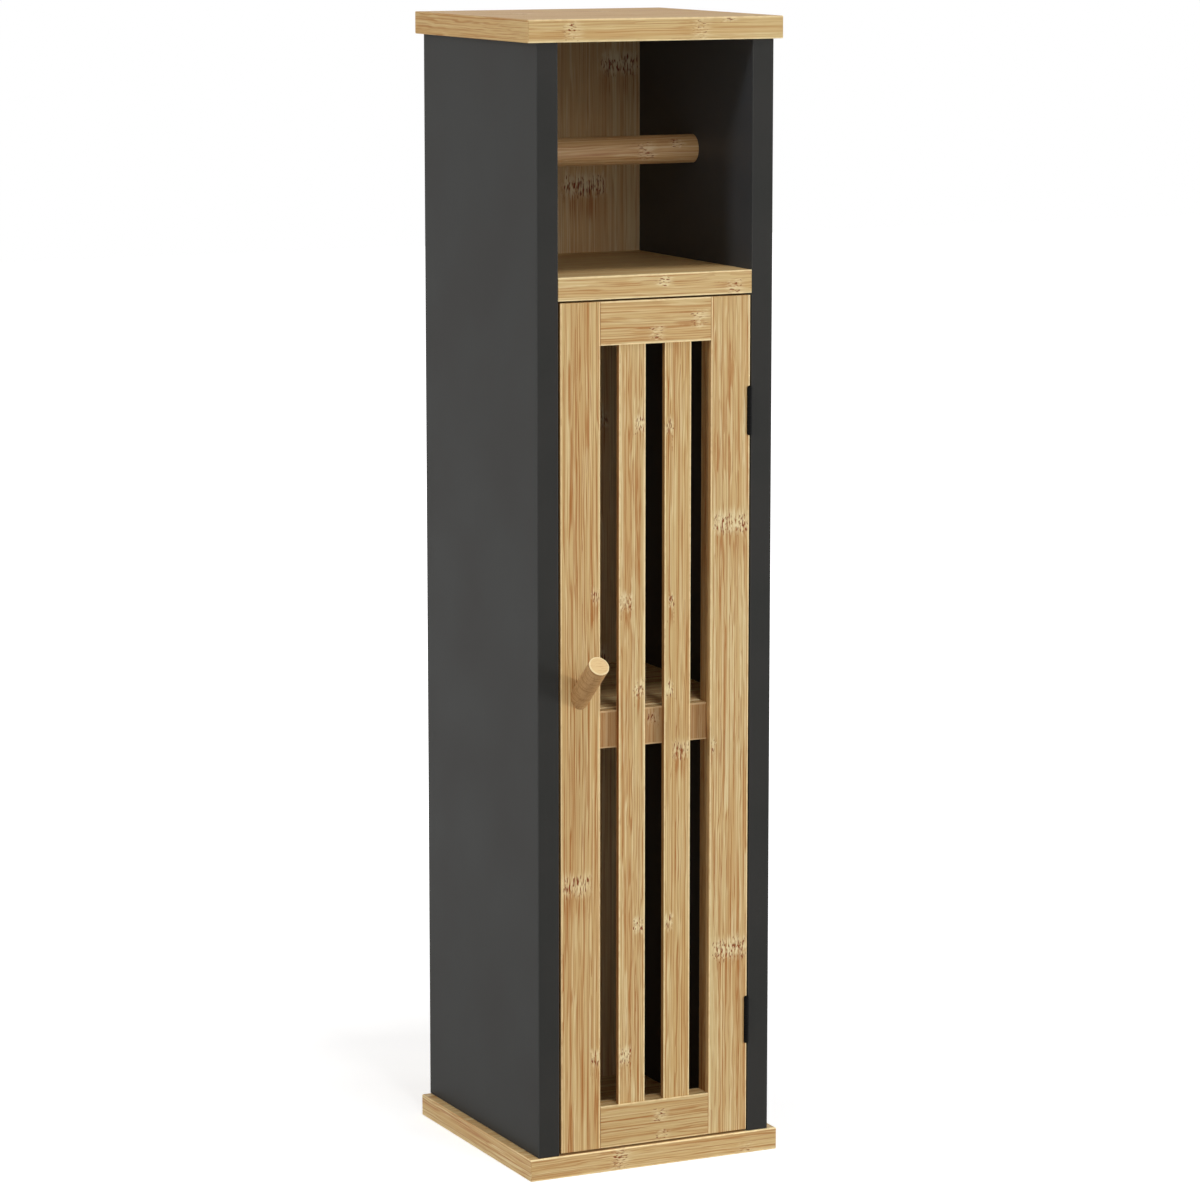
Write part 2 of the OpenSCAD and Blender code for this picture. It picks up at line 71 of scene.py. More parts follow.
SQUARE_TO = 0.7  # least share of a face's normal along an axis that it counts as square to
EASED_CORE = 0.35  # share of an eased edge's width over which its colour is full
NOISE_SPAN = (0.3, 0.7)  # where most of a noise's values lie
NOISE_MIDDLE = 0.5  # round which a noise's values lie


class Axis(Enum):
    """An axis of the row frame."""

    X = 0
    Y = 1
    Z = 2


class Way(Enum):
    """Which of the faces that are square to an axis is meant."""

    LOW = -1.0
    BOTH = 0.0
    HIGH = 1.0


class Op(Enum):
    """What a Math node works out."""

    ADD = "ADD"
    SUBTRACT = "SUBTRACT"
    MULTIPLY = "MULTIPLY"
    MULTIPLY_ADD = "MULTIPLY_ADD"
    DIVIDE = "DIVIDE"
    LOWER = "MINIMUM"
    HIGHER = "MAXIMUM"
    MAGNITUDE = "ABSOLUTE"
    SQUARE_ROOT = "SQRT"
    FLOOR = "FLOOR"
    FRACTION = "FRACT"
    ABOVE = "GREATER_THAN"


class Mix(Enum):
    """What a Mix node joins, with the places of its three inputs and of its result."""

    NUMBERS = ("FLOAT", (0, 2, 3), 0)
    COLOURS = ("RGBA", (0, 6, 7), 2)


class Blend(Enum):
    """How a Mix node joins two colours."""

    MIX = "MIX"
    MULTIPLY = "MULTIPLY"


@dataclass(frozen=True)
class Step:
    """A smooth step from one number to another.

    Attributes:
        start: The value up to which it gives the low number.
        end: The value from which it gives the high number.
        low: The number at the start.
        high: The number at the end.
    """

    start: float
    end: float
    low: float = 0.0
    high: float = 1.0

    def scaled(self, factor: float) -> Step:
        """The same step with its numbers multiplied."""
        return replace(self, low=self.low * factor, high=self.high * factor)


@dataclass(frozen=True)
class Band:
    """A band round a value, which fades on both sides.

    Attributes:
        middle: The value in its middle.
        inner: How far from the middle it starts to fade.
        outer: How far from the middle it ends.
    """

    middle: float
    inner: float
    outer: float


@dataclass(frozen=True)
class Streaks:
    """A noise that can be drawn out along an axis, and how it turns into shares of a colour.

    Attributes:
        fineness: Features per millimetre on each axis.
        share: The step from the noise's value to the colour's share.
        detail: Octaves of the noise.
    """

    fineness: tuple[float, float, float]
    share: Step
    detail: float = 2.0


def srgb(red: int, green: int, blue: int) -> Colour:
    """Turns a colour as it shows on a screen into the linear colour that a shader takes.

    Args:
        red: Red, 0 to 255.
        green: Green, 0 to 255.
        blue: Blue, 0 to 255.

    Returns:
        The linear colour with an alpha of 1.
    """

    def linear(value: int) -> float:
        """One channel from screen to linear."""
        share = value / 255.0
        return share / 12.92 if share <= 0.04045 else ((share + 0.055) / 1.055) ** 2.4

    return (linear(red), linear(green), linear(blue), 1.0)


def grey(value: float) -> Colour:
    """A linear grey with an alpha of 1."""
    return (value, value, value, 1.0)


def front_of(node: str) -> float:
    """The y of a node's frontmost face, in millimetres."""
    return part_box(node)[0].y * MM_PER_M


def rear_of(node: str) -> float:
    """The y of a node's rearmost face, in millimetres."""
    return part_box(node)[1].y * MM_PER_M


class Graph:
    """Short calls that add nodes to one shader tree and link them."""

    def __init__(self, tree: bpy.types.NodeTree) -> None:
        """Starts on a tree, whose old nodes go."""
        self.tree = tree
        self.tree.nodes.clear()

    def add(self, kind: str, **settings: object) -> bpy.types.Node:
        """Adds a node.

        Args:
            kind: Blender's name for the node's type, without ShaderNode.
            settings: Attributes to set on it.

        Returns:
            The new node.
        """
        node = self.tree.nodes.new("ShaderNode" + kind)
        for name, value in settings.items():
            setattr(node, name, value)
        return node

    def feed(self, socket: Socket, value: Number | Paint) -> None:
        """Gives a socket a fixed value or another node's output.

        Args:
            socket: The input to fill.
            value: The value, or the output to link to it.
        """
        if isinstance(value, bpy.types.NodeSocket):
            self.tree.links.new(value, socket)
        else:
            socket.default_value = value

    def feed_named(self, node: bpy.types.Node, values: dict[str, Number | Paint]) -> None:
        """Feeds a node's inputs by their names."""
        for name, value in values.items():
            self.feed(node.inputs[name], value)

    def result(self, kind: str, *values: Number | Paint, **settings: object) -> Socket:
        """Adds a node and feeds its inputs.

        Args:
            kind: Blender's name for the node's type, without ShaderNode.
            values: What its first inputs get, in order.
            settings: Attributes to set on it.

        Returns:
            Its first output.
        """
        node = self.add(kind, **settings)
        for socket, value in zip(node.inputs, values):
            self.feed(socket, value)
        return node.outputs[0]

    def end(self, kind: str, shader: Socket) -> None:
        """Ends the tree in an output node of one kind, which shows a shader."""
        self.feed(self.add(kind).inputs["Surface"], shader)

    def math(self, operation: Op, *values: Number) -> Socket:
        """Works out one operation on its values."""
        return self.result("Math", *values, operation=operation.value)

    def plus(self, first: Number, second: Number) -> Socket:
        """The sum of two numbers."""
        return self.math(Op.ADD, first, second)

    def minus(self, first: Number, second: Number) -> Socket:
        """The first number less the second."""
        return self.math(Op.SUBTRACT, first, second)

    def times(self, first: Number, second: Number) -> Socket:
        """The product of two numbers."""
        return self.math(Op.MULTIPLY, first, second)

    def times_plus(self, first: Number, second: Number, third: Number) -> Socket:
        """The product of the first two numbers, plus the third."""
        return self.math(Op.MULTIPLY_ADD, first, second, third)

    def lower(self, first: Number, second: Number) -> Socket:
        """The lower of two numbers."""
        return self.math(Op.LOWER, first, second)

    def higher(self, first: Number, second: Number) -> Socket:
        """The higher of two numbers."""
        return self.math(Op.HIGHER, first, second)

    def magnitude(self, value: Number) -> Socket:
        """A number without its sign."""
        return self.math(Op.MAGNITUDE, value)

    def ramp(self, value: Number, step: Step) -> Socket:
        """Sends a value through a step, which holds its numbers outside its start and end."""
        limits = (step.start, step.end, step.low, step.high)
        return self.result("MapRange", value, *limits, interpolation_type="SMOOTHSTEP")

    def band(self, value: Number, band: Band) -> Socket:
        """1 in the band's inner part, falling to 0 at its outer ends."""
        distance = self.magnitude(self.minus(value, band.middle))
        return self.ramp(distance, Step(band.inner, band.outer, 1.0, 0.0))

    def sway(self, noise: Socket, middle: float, spread: float) -> Socket:
        """A number that goes with a noise, from the middle less the spread to the middle plus the spread."""
        return self.ramp(noise, Step(*NOISE_SPAN, middle - spread, middle + spread))

    def mix(self, form: Mix, blend: Blend, *values: Number | Paint) -> Socket:
        """Adds a Mix node.

        Args:
            form: What it joins.
            blend: How it joins colours.
            values: Its factor and the two things that it joins.

        Returns:
            Its result.
        """
        data_type, places, result = form.value
        node = self.add("Mix", data_type=data_type, blend_type=blend.value)
        for place, value in zip(places, values):
            self.feed(node.inputs[place], value)
        return node.outputs[result]

    def blend(self, share: Number, first: Paint, second: Paint) -> Socket:
        """Lays a share of the second colour over the first."""
        return self.mix(Mix.COLOURS, Blend.MIX, share, first, second)

    def tinted(self, colour: Paint, tint: Paint, share: Number = 1.0) -> Socket:
        """Multiplies a colour by a share of a tint."""
        return self.mix(Mix.COLOURS, Blend.MULTIPLY, share, colour, tint)

    def choose(self, share: Number, first: Number, second: Number) -> Socket:
        """Goes from the first number to the second as the share goes from 0 to 1."""
        return self.mix(Mix.NUMBERS, Blend.MIX, share, first, second)

    def vector(self, x: Number, y: Number, z: Number) -> Socket:
        """Joins three numbers into a vector."""
        return self.result("CombineXYZ", x, y, z)

    def split(self, vector: Socket) -> Point:
        """Splits a vector.

        Args:
            vector: The vector.

        Returns:
            Its three numbers.
        """
        node = self.add("SeparateXYZ")
        self.feed(node.inputs[0], vector)
        return tuple(node.outputs)

    def noise(self, spot: Socket, scale: float = 1.0, detail: float = 2.0, roughness: float = 0.5) -> Socket:
        """Adds a 3-D noise.

        Args:
            spot: The point at which it is read.
            scale: Features per unit of the point.
            detail: Octaves of the noise.
            roughness: How much the finer octaves count.

        Returns:
            Its value, which lies round 0.5.
        """
        node = self.add("TexNoise")
        self.feed_named(node, {"Vector": spot, "Scale": scale, "Detail": detail, "Roughness": roughness})
        return node.outputs[0]

    def stretched(self, place: Point, streaks: Streaks) -> Socket:
        """The noise of some streaks at a point in millimetres."""
        spot = self.vector(*map(self.times, place, streaks.fineness))
        return self.noise(spot, detail=streaks.detail)

    def shifts(self, noise: Socket, width: float) -> Socket:
        """Turns a noise into shifts to both sides that lie within a width."""
        return self.times(self.minus(noise, NOISE_MIDDLE), width)

    def millimetres(self) -> Point:
        """Finds the shaded point.

        Returns:
            Its x, y and z in the row frame, in millimetres.
        """
        scale = self.add("VectorMath", operation="SCALE")
        self.feed(scale.inputs[0], self.add("TexCoord").outputs["Object"])
        self.feed(scale.inputs["Scale"], MM_PER_M)
        return self.split(scale.outputs[0])

    def facing(self, axis: Axis, way: Way = Way.BOTH) -> Socket:
        """Marks the faces that are square to an axis.

        Args:
            axis: The axis.
            way: The end of the axis that they look to.

        Returns:
            1 on those faces and 0 on the others.
        """
        normal = self.split(self.add("TexCoord").outputs["Normal"])[axis.value]
        towards = self.magnitude(normal) if way is Way.BOTH else self.times(normal, way.value)
        return self.math(Op.ABOVE, towards, SQUARE_TO)

    def gaps(self, place: Point, box: Box) -> Point:
        """Measures how deep a point lies in a box.

        Args:
            place: The point in millimetres.
            box: The box's low and high corners in metres.

        Returns:
            On each axis, the distance to the nearer face in millimetres.
        """
        low, high = (corner * MM_PER_M for corner in box)
        to_low = map(self.minus, place, low)
        to_high = map(self.minus, high, place)
        return tuple(map(self.lower, to_low, to_high))

    def arris(self, gaps: Point, width: float, run: Axis | None = None) -> Socket:
        """Marks the strip along the edges of a box, where two of its faces are near.

        Args:
            gaps: The distances to the box's faces.
            width: The strip's width in millimetres.
            run: The axis that the wanted edges run along, or None for all edges.

        Returns:
            1 on the edge, falling to 0 at the strip's width.
        """
        if run is None:
            nearer = self.lower(gaps[0], gaps[1])
            further = self.higher(gaps[0], gaps[1])
            second = self.higher(nearer, self.lower(further, gaps[2]))
        else:
            second = self.higher(*(gap for axis, gap in zip(Axis, gaps) if axis is not run))
        return self.ramp(second, Step(EASED_CORE * width, width, 1.0, 0.0))

    def seen(self) -> Socket:
        """Tells what is looked at from what only gives light.

        Returns:
            1 for rays from the camera, reflections and glass, and 0 for rays that light something.
        """
        rays = self.add("LightPath").outputs
        straight = self.higher(rays["Is Camera Ray"], rays["Is Glossy Ray"])
        return self.higher(straight, rays["Is Transmission Ray"])

    def surface(
        self,
        colour: Paint,
        roughness: Number,
        height: Number,
        relief: float,
        gloss: float,
        metallic: float = 0.0,
    ) -> None:
        """Ends the tree in a Principled shader with a bump.

        Args:
            colour: The base colour.
            roughness: The roughness.
            height: The bump's height, 0 to 1.
            relief: What a height of 1 stands for, in metres.
            gloss: The specular level.
            metallic: 1 for bare metal, 0 for anything else.
        """
        bump = self.add("Bump")
        self.feed_named(bump, {"Height": height, "Distance": relief})
        shader = self.add("BsdfPrincipled")
        self.feed_named(shader, {"Base Color": colour, "Roughness": roughness, "Metallic": metallic})
        self.feed_named(shader, {"Specular IOR Level": gloss, "Normal": bump.outputs[0]})
        self.end("OutputMaterial", shader.outputs[0])


def new_graph(name: str) -> tuple[bpy.types.Material, Graph]:
    """Makes a node material.

    Args:
        name: The material's name.

    Returns:
        The empty material and the graph that fills it.
    """
    material = bpy.data.materials.new(name)
    material.use_nodes = True
    return material, Graph(material.node_tree)


class Finish(Protocol):
    """Anything that gives a node its material."""

    def material(self, node: str) -> bpy.types.Material:
        """Makes or finds the material for a node."""


class Layer(Enum):
    """Noises drawn out along bamboo's grain: features per millimetre across it and along it, and octaves."""

    SLOW_WAVER = (0.03, 0.007, 0.0)
    QUICK_WAVER = (0.25, 0.05, 0.0)
    WARM_BAND = (0.22, 0.004, 2.0)
    GROWTH = (0.17, 0.0018, 1.0)
    CROWDING = (0.08, 0.004, 1.0)
    FADING = (0.5, 0.012, 1.0)
    FIBRE = (1.0, 0.008, 1.0)
    DASH = (1.0, 0.03, 1.0)
    HAIR = (1.9, 0.12, 1.0)
    KNOT_OUTLINE = (0.75, 0.01, 2.0)
    KNOT_TOOTH = (1.15, 0.03, 1.0)
    KNOT_DASH = (1.2, 0.38, 1.0)


LAYER_ROUGHNESS = 0.55  # how much a layer's finer octaves count
SEED_ACROSS, SEED_ALONG, SEED_STRIPS = 3.1, 1.7, 0.37  # what a seed of 1 shifts each pattern by
SIDE_SHIFT = 400.0  # millimetres between the pattern on a board's ends and the one on its other faces
SLOW_WAVER, QUICK_WAVER = 4.0, 1.3  # how far the fibres waver, in millimetres

# How the cane's noises turn into shares of colour.
STRIP_MIDDLE = 0.5  # where a strip's middle is, as a share of its width
STRIP_TONE = 0.12  # how much one strip's tone differs from another's
GROWTH_LINES = 11.0  # how many lines there are in the growth noise's range
WARM_BAND = Step(0.4, 0.7)
LINE_CROWDING = Step(0.38, 0.6, 0.5, 1.0)
LINE_FADING = Step(0.35, 0.6, 0.35, 1.0)
GROWTH_LINE = Step(0.6, 0.96, 0.0, 0.8)
DARK_FIBRE = Step(0.52, 0.68, 0.0, 0.75)
PALE_FIBRE = Step(0.48, 0.32, 0.0, 0.65)
SHORT_DASH = Step(0.62, 0.72, 0.0, 0.6)
WARM_HAIR = Step(0.5, 0.75, 0.0, 0.45)
STRIP_SEAM = Step(0.488, 0.499, 0.0, 0.5)  # over the distance from the strip's middle
FIBRE_RELIEF, GROWTH_RELIEF = 0.6, 0.4  # their shares in the grain's height

# The knots. Lengths are in millimetres, and a band's are measured along the grain in a knot of size 1.
KNOT_OUTLINE = 13.0  # how far its ragged outline goes, from end to end
KNOT_LUMPS = 6.0  # how far its reach varies, from end to end
LUMP_FINENESS, CLUSTER_FINENESS = 0.35, 0.22  # lumps and clusters of dashes per millimetre
LARGE_REACH = 13.0  # a knot that reaches further isn't longer along the grain
SMALLEST = 0.7  # size of a knot with hardly any reach
TEETH_RAGGED, DASHES_RAGGED = 0.8, 0.5  # how much of the outline the teeth and the dashes follow
FULL_TO, GONE_AT = 0.6, 1.15  # shares of its reach where it starts to fade and where it ends
CREAM_BAND = Band(2.5, 2.5, 9.0)
DASH_BAND = Band(0.5, 1.5, 9.0)
STREAK_BAND = Band(-7.0, 4.0, 21.0)
DASH_CLUSTER = Step(0.36, 0.55, 0.3, 1.0)
DARK_TOOTH = Step(0.58, 0.68, 0.0, 0.75)
CREAM_TOOTH = Step(0.42, 0.56, 0.8, 0.05)
PALE_SPOT = Step(0.5, 0.38, 0.0, 0.85)
PIT_PLACE, PIT = Step(0.05, 0.3), Step(0.66, 0.73)
STREAK_PULL, DASH_PULL = 0.09, 0.16  # how much a band raises the noise of its teeth and of its dashes
PIT_DARKNESS = 0.95  # the share of the dark colour in a pit

# Painted highlight on the eased edges, joints and lacquer.
EASED_WIDTH = 1.4  # millimetres
EDGE_HIGHLIGHT_SHARE, HIGHLIGHT_PATCH_FINENESS = Step(0.3, 0.6, 0.6, 0.95), 0.15  # the painted highlight's share over the noise of its patches, and its patches per millimetre
JOINT_LINE = Step(0.2, 0.7, 1.0, 0.0)
GRAIN_RELIEF = 0.00006  # metres
FIBRE_SHEEN = -0.05  # what the fibres that stand up add to the roughness


@dataclass(frozen=True)
class Knot:
    """One bamboo node: cream teeth and dark dashes in a band across the grain, where the cane had its ring.

    Attributes:
        x: Its middle in millimetres of the row frame, as y and z.
        y: See x.
        z: See x.
        reach: How far it spreads across the grain, in millimetres.
        strength: How plain it is, 0 to 1.
    """

    x: float
    y: float
    z: float
    reach: float
    strength: float = 1.0

    @property
    def size(self) -> float:
        """How long it is along the grain, where 1.2 is the longest."""
        return SMALLEST + min(self.reach, LARGE_REACH) / (2.0 * LARGE_REACH)


@dataclass(frozen=True)
class Turned:
    """The faces of a board that look one way and whose colour is multiplied: by their own tone where its
    strips are cut edge on, and by painted light or painted shade on some faces.

    Attributes:
        axis: The axis that the faces are square to.
        tone: What their colour is multiplied by.
        way: The end of the axis that they look to.
    """

    axis: Axis
    tone: Colour
    way: Way = Way.BOTH


@dataclass(frozen=True)
class Bamboo:
    """Laminated bamboo under satin lacquer.

    Attributes:
        grain: The axis that the fibres run along.
        across: The axis that the strips lie side by side on.
        seed: Shifts the pattern, so that no two pieces look the same.
        knots: The nodes that show on the piece.
        side_grain: True where the faces towards +X and -X have fibres along Y, as on an edged board.
        strip: Width of one strip of cane in millimetres.
        run: How quickly the fibres' pattern changes along the grain; below 1 it runs longer.
        figure: How plain the lines are, 1 for the usual contrast.
        edges: The axis that the eased edges run along, where that isn't the grain's.
        joint: How plain the dark line is at both ends of the grain, where the piece meets another.
        gloss: The lacquer's specular level.
        roughness: The lacquer's main roughness.
        painted_shade_steps: Painted shade in steps along the grain, in millimetres of the row frame, where
            the piece lies deeper in shade.
        tint: Colour that the whole piece is multiplied by.
        turned: The faces whose colour is multiplied, for a tone of their own and for painted light and
            shade.
        light: The palest fibres, at the nodes.
        pale: The pale fibres between lines.
        warm: The warmer bands.
        line: The thin lines along the fibres.
        dot: The dark dashes in the nodes.
        rim: The painted highlight on the eased edges.
    """

    grain: Axis
    across: Axis
    seed: float
    knots: tuple[Knot, ...] = ()
    side_grain: bool = False
    strip: float = 21.0
    run: float = 0.75
    figure: float = 1.0
    edges: Axis | None = None
    joint: float = 0.0
    gloss: float = 0.11
    roughness: float = 0.47
    painted_shade_steps: tuple[Step, ...] = ()
    tint: Colour = grey(1.0)
    turned: tuple[Turned, ...] = ()
    light: Colour = srgb(236, 219, 172)
    pale: Colour = srgb(214, 187, 134)
    warm: Colour = srgb(206, 170, 115)
    line: Colour = srgb(168, 104, 48)
    dot: Colour = srgb(136, 66, 32)
    rim: Colour = srgb(252, 230, 178)

    def material(self, node: str) -> bpy.types.Material:
        """Makes this finish for one node.

        Args:
            node: The node's name, whose box sets where the eased edges are.

        Returns:
            The material.
        """
        material, graph = new_graph("bamboo_" + node)
        pattern = BambooPattern(self, graph)
        pattern.draw_cane()
        if self.knots:
            pattern.draw_knots()
        pattern.draw_edges(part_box(node))
        pattern.draw_tones()
        pattern.lacquer()
        return material


class BambooPattern:
    """The pattern of one bamboo piece, which is drawn into its graph step by step.

    Attributes:
        finish: The finish that it follows.
        graph: The material's graph.
        place: The shaded point, x, y and z in millimetres.
        along: The same point along the grain.
        across: The same point across the grain, where the fibres waver.
        through: The same point through the strips, where the fibres waver.
        colour: The colour so far.
        height: The fibres' height, 0 to 1.
        pits: How deep the pits are in the dark dashes, 0 to 1.
    """

    def __init__(self, finish: Bamboo, graph: Graph) -> None:
        """Starts a pattern.

        Args:
            finish: The finish that it follows.
            graph: The material's graph.
        """
        self.finish = finish
        self.graph = graph
        self.place = graph.millimetres()
        self.along, self.across, self.through = self._straight_grain()
        self._waver()
        self.colour: Paint = finish.pale
        self.height: Number = 0.0
        self.pits: Number = 0.0

    def draw_cane(self) -> None:
        """Draws the strips of cane with their lines and fibres."""
        graph, finish, figure = self.graph, self.finish, self.finish.figure
        strip = graph.times_plus(self.across, 1.0 / finish.strip, finish.seed * SEED_STRIPS)
        strip_tone = graph.add("TexWhiteNoise", noise_dimensions="1D")
        graph.feed_named(strip_tone, {"W": graph.math(Op.FLOOR, strip)})
        tone = graph.times_plus(strip_tone.outputs[0], STRIP_TONE, self._layer(Layer.WARM_BAND))
        self._lay(graph.ramp(tone, WARM_BAND), finish.warm)
        growth = self._layer(Layer.GROWTH)
        saw = graph.math(Op.FRACTION, graph.times(growth, GROWTH_LINES))
        crowd = graph.ramp(self._layer(Layer.CROWDING), LINE_CROWDING)
        fade = graph.ramp(self._layer(Layer.FADING), LINE_FADING)
        lines = graph.times(graph.ramp(saw, GROWTH_LINE.scaled(figure)), graph.times(crowd, fade))
        self._lay(lines, finish.line)
        fibre = self._layer(Layer.FIBRE)
        self._lay(graph.ramp(fibre, DARK_FIBRE.scaled(figure)), finish.line)
        self._lay(graph.ramp(fibre, PALE_FIBRE.scaled(figure)), finish.light)
        self._lay(graph.ramp(self._layer(Layer.DASH), SHORT_DASH.scaled(figure)), finish.line)
        self._lay(graph.ramp(self._layer(Layer.HAIR), WARM_HAIR), finish.warm)
        from_middle = graph.magnitude(graph.minus(graph.math(Op.FRACTION, strip), STRIP_MIDDLE))
        self._lay(graph.ramp(from_middle, STRIP_SEAM), finish.line)
        self.height = graph.times_plus(fibre, FIBRE_RELIEF, graph.times(growth, GROWTH_RELIEF))

    def draw_knots(self) -> None:
        """Draws the piece's bamboo nodes."""
        graph, finish = self.graph, self.finish
        self.along = self.place[finish.grain.value]
        cream, dark, streaks = self._knot_bands()
        teeth = self._layer(Layer.KNOT_TOOTH)
        dashes = self._layer(Layer.KNOT_DASH)
        long_teeth = graph.ramp(graph.times_plus(streaks, STREAK_PULL, teeth), DARK_TOOTH)
        self._lay(graph.times(streaks, long_teeth), finish.line)
        self._lay(graph.times(cream, graph.ramp(teeth, CREAM_TOOTH)), finish.light)
        self._lay(graph.times(dark, graph.ramp(dashes, PALE_SPOT)), finish.light)
        clusters = graph.noise(graph.vector(*self.place), CLUSTER_FINENESS, detail=0.0)
        density = graph.times(dark, graph.ramp(clusters, DASH_CLUSTER))
        marks = graph.ramp(graph.times_plus(density, DASH_PULL, dashes), PIT)
        self.pits = graph.times(graph.ramp(density, PIT_PLACE), marks)
        self._lay(graph.times(self.pits, PIT_DARKNESS), finish.dot)

    def draw_edges(self, box: Box) -> None:
        """Draws a painted highlight in patches on the eased edges, and the dark lines at the joints.

        Args:
            box: The piece's box.
        """
        graph, finish = self.graph, self.finish
        gaps = graph.gaps(self.place, box)
        # painted highlight: a pale colour laid in patches along the eased edges, where light catches them
        edge = graph.arris(gaps, EASED_WIDTH, finish.edges or finish.grain)
        highlight_patches = graph.ramp(graph.noise(graph.vector(*self.place), HIGHLIGHT_PATCH_FINENESS), EDGE_HIGHLIGHT_SHARE)
        self._lay(graph.times(edge, highlight_patches), finish.rim)
        if finish.joint > 0.0:
            self._lay(graph.ramp(gaps[finish.grain.value], JOINT_LINE.scaled(finish.joint)), finish.dot)

    def draw_tones(self) -> None:
        """Tints the piece, paints shade in steps along the grain and multiplies the turned faces, for their
        own tone and for painted light and shade.
        """
        graph, finish = self.graph, self.finish
        self.colour = graph.tinted(self.colour, finish.tint)
        # painted shade: darker steps along the grain where the piece lies in shade
        for shade_step in finish.painted_shade_steps:
            tone = graph.ramp(self.place[finish.grain.value], shade_step)
            self.colour = graph.tinted(self.colour, graph.vector(tone, tone, tone))
        # turned faces: their own tone where strips are cut edge on, painted light or painted shade on others
        for faces in finish.turned:
            self.colour = graph.tinted(self.colour, faces.tone, graph.facing(faces.axis, faces.way))

    def lacquer(self) -> None:
        """Ends the graph in the lacquered surface."""
        roughness = self.graph.sway(self.height, self.finish.roughness, FIBRE_SHEEN)
        height = self.graph.minus(self.height, self.pits)
        self.graph.surface(self.colour, roughness, height, GRAIN_RELIEF, self.finish.gloss)

    def _lay(self, share: Number, tone: Colour) -> None:
        """Lays a share of a tone over the colour so far."""
        self.colour = self.graph.blend(share, self.colour, tone)

    def _straight_grain(self) -> Point:
        """Turns the row frame to the grain.

        Returns:
            The shaded point along, across and through the grain, in millimetres.
        """
        graph, finish = self.graph, self.finish
        x, y, z = self.place
        third = next(axis for axis in Axis if axis not in (finish.grain, finish.across))
        straight = [self.place[axis.value] for axis in (finish.grain, finish.across, third)]
        if not finish.side_grain:
            return tuple(straight)
        on_end = graph.facing(Axis.X)
        turned = (graph.plus(y, SIDE_SHIFT), z, x)
        return tuple(graph.choose(on_end, usual, other) for usual, other in zip(straight, turned))

    def _waver(self) -> None:
        """Lets the fibres waver a little, as they do in cane."""
        graph = self.graph
        slow = graph.times(self._layer(Layer.SLOW_WAVER), SLOW_WAVER)
        shift = graph.times_plus(self._layer(Layer.QUICK_WAVER), QUICK_WAVER, slow)
        self.across = graph.plus(self.across, shift)
        self.through = graph.plus(self.through, shift)

    def _layer(self, layer: Layer) -> Socket:
        """Adds a noise that is drawn out along the grain.

        Args:
            layer: The noise.

        Returns:
            Its value, which lies round 0.5.
        """
        graph, finish = self.graph, self.finish
        fine, long, detail = layer.value
        across = graph.times_plus(self.across, fine, finish.seed * SEED_ACROSS)
        through = graph.times(self.through, fine)
        along = graph.times_plus(self.along, long * finish.run, finish.seed * SEED_ALONG)
        return graph.noise(graph.vector(across, through, along), detail=detail, roughness=LAYER_ROUGHNESS)

    def _knot_bands(self) -> Point:
        """Marks the parts of the bamboo nodes.

        Returns:
            How much of their cream teeth, of their dark dashes and of their streaks there is, 0 to 1.
        """
        graph, grain = self.graph, self.finish.grain
        outline = graph.shifts(self._layer(Layer.KNOT_OUTLINE), KNOT_OUTLINE)
        lumps = graph.shifts(graph.noise(graph.vector(*self.place), LUMP_FINENESS, detail=1.0), KNOT_LUMPS)
        cream, dark, streaks = 0.0, 0.0, 0.0
        for knot in self.finish.knots:
            offset = tuple(map(graph.minus, self.place, (knot.x, knot.y, knot.z)))
            sides = [graph.times(side, side) for axis, side in zip(Axis, offset) if axis is not grain]
            radius = graph.math(Op.SQUARE_ROOT, graph.plus(*sides))
            fading = Step(knot.reach * FULL_TO, knot.reach * GONE_AT, knot.strength, 0.0)
            near = graph.ramp(graph.plus(radius, lumps), fading)
            to_teeth = graph.times_plus(outline, TEETH_RAGGED, offset[grain.value])
            to_dashes = graph.times_plus(outline, DASHES_RAGGED, offset[grain.value])
            tooth_level = graph.math(Op.DIVIDE, to_teeth, knot.size)
            dash_level = graph.math(Op.DIVIDE, to_dashes, knot.size)
            cream = graph.higher(cream, graph.times(near, graph.band(tooth_level, CREAM_BAND)))
            dark = graph.higher(dark, graph.times(near, graph.band(dash_level, DASH_BAND)))
            streaks = graph.higher(streaks, graph.times(near, graph.band(tooth_level, STREAK_BAND)))
        return cream, dark, streaks


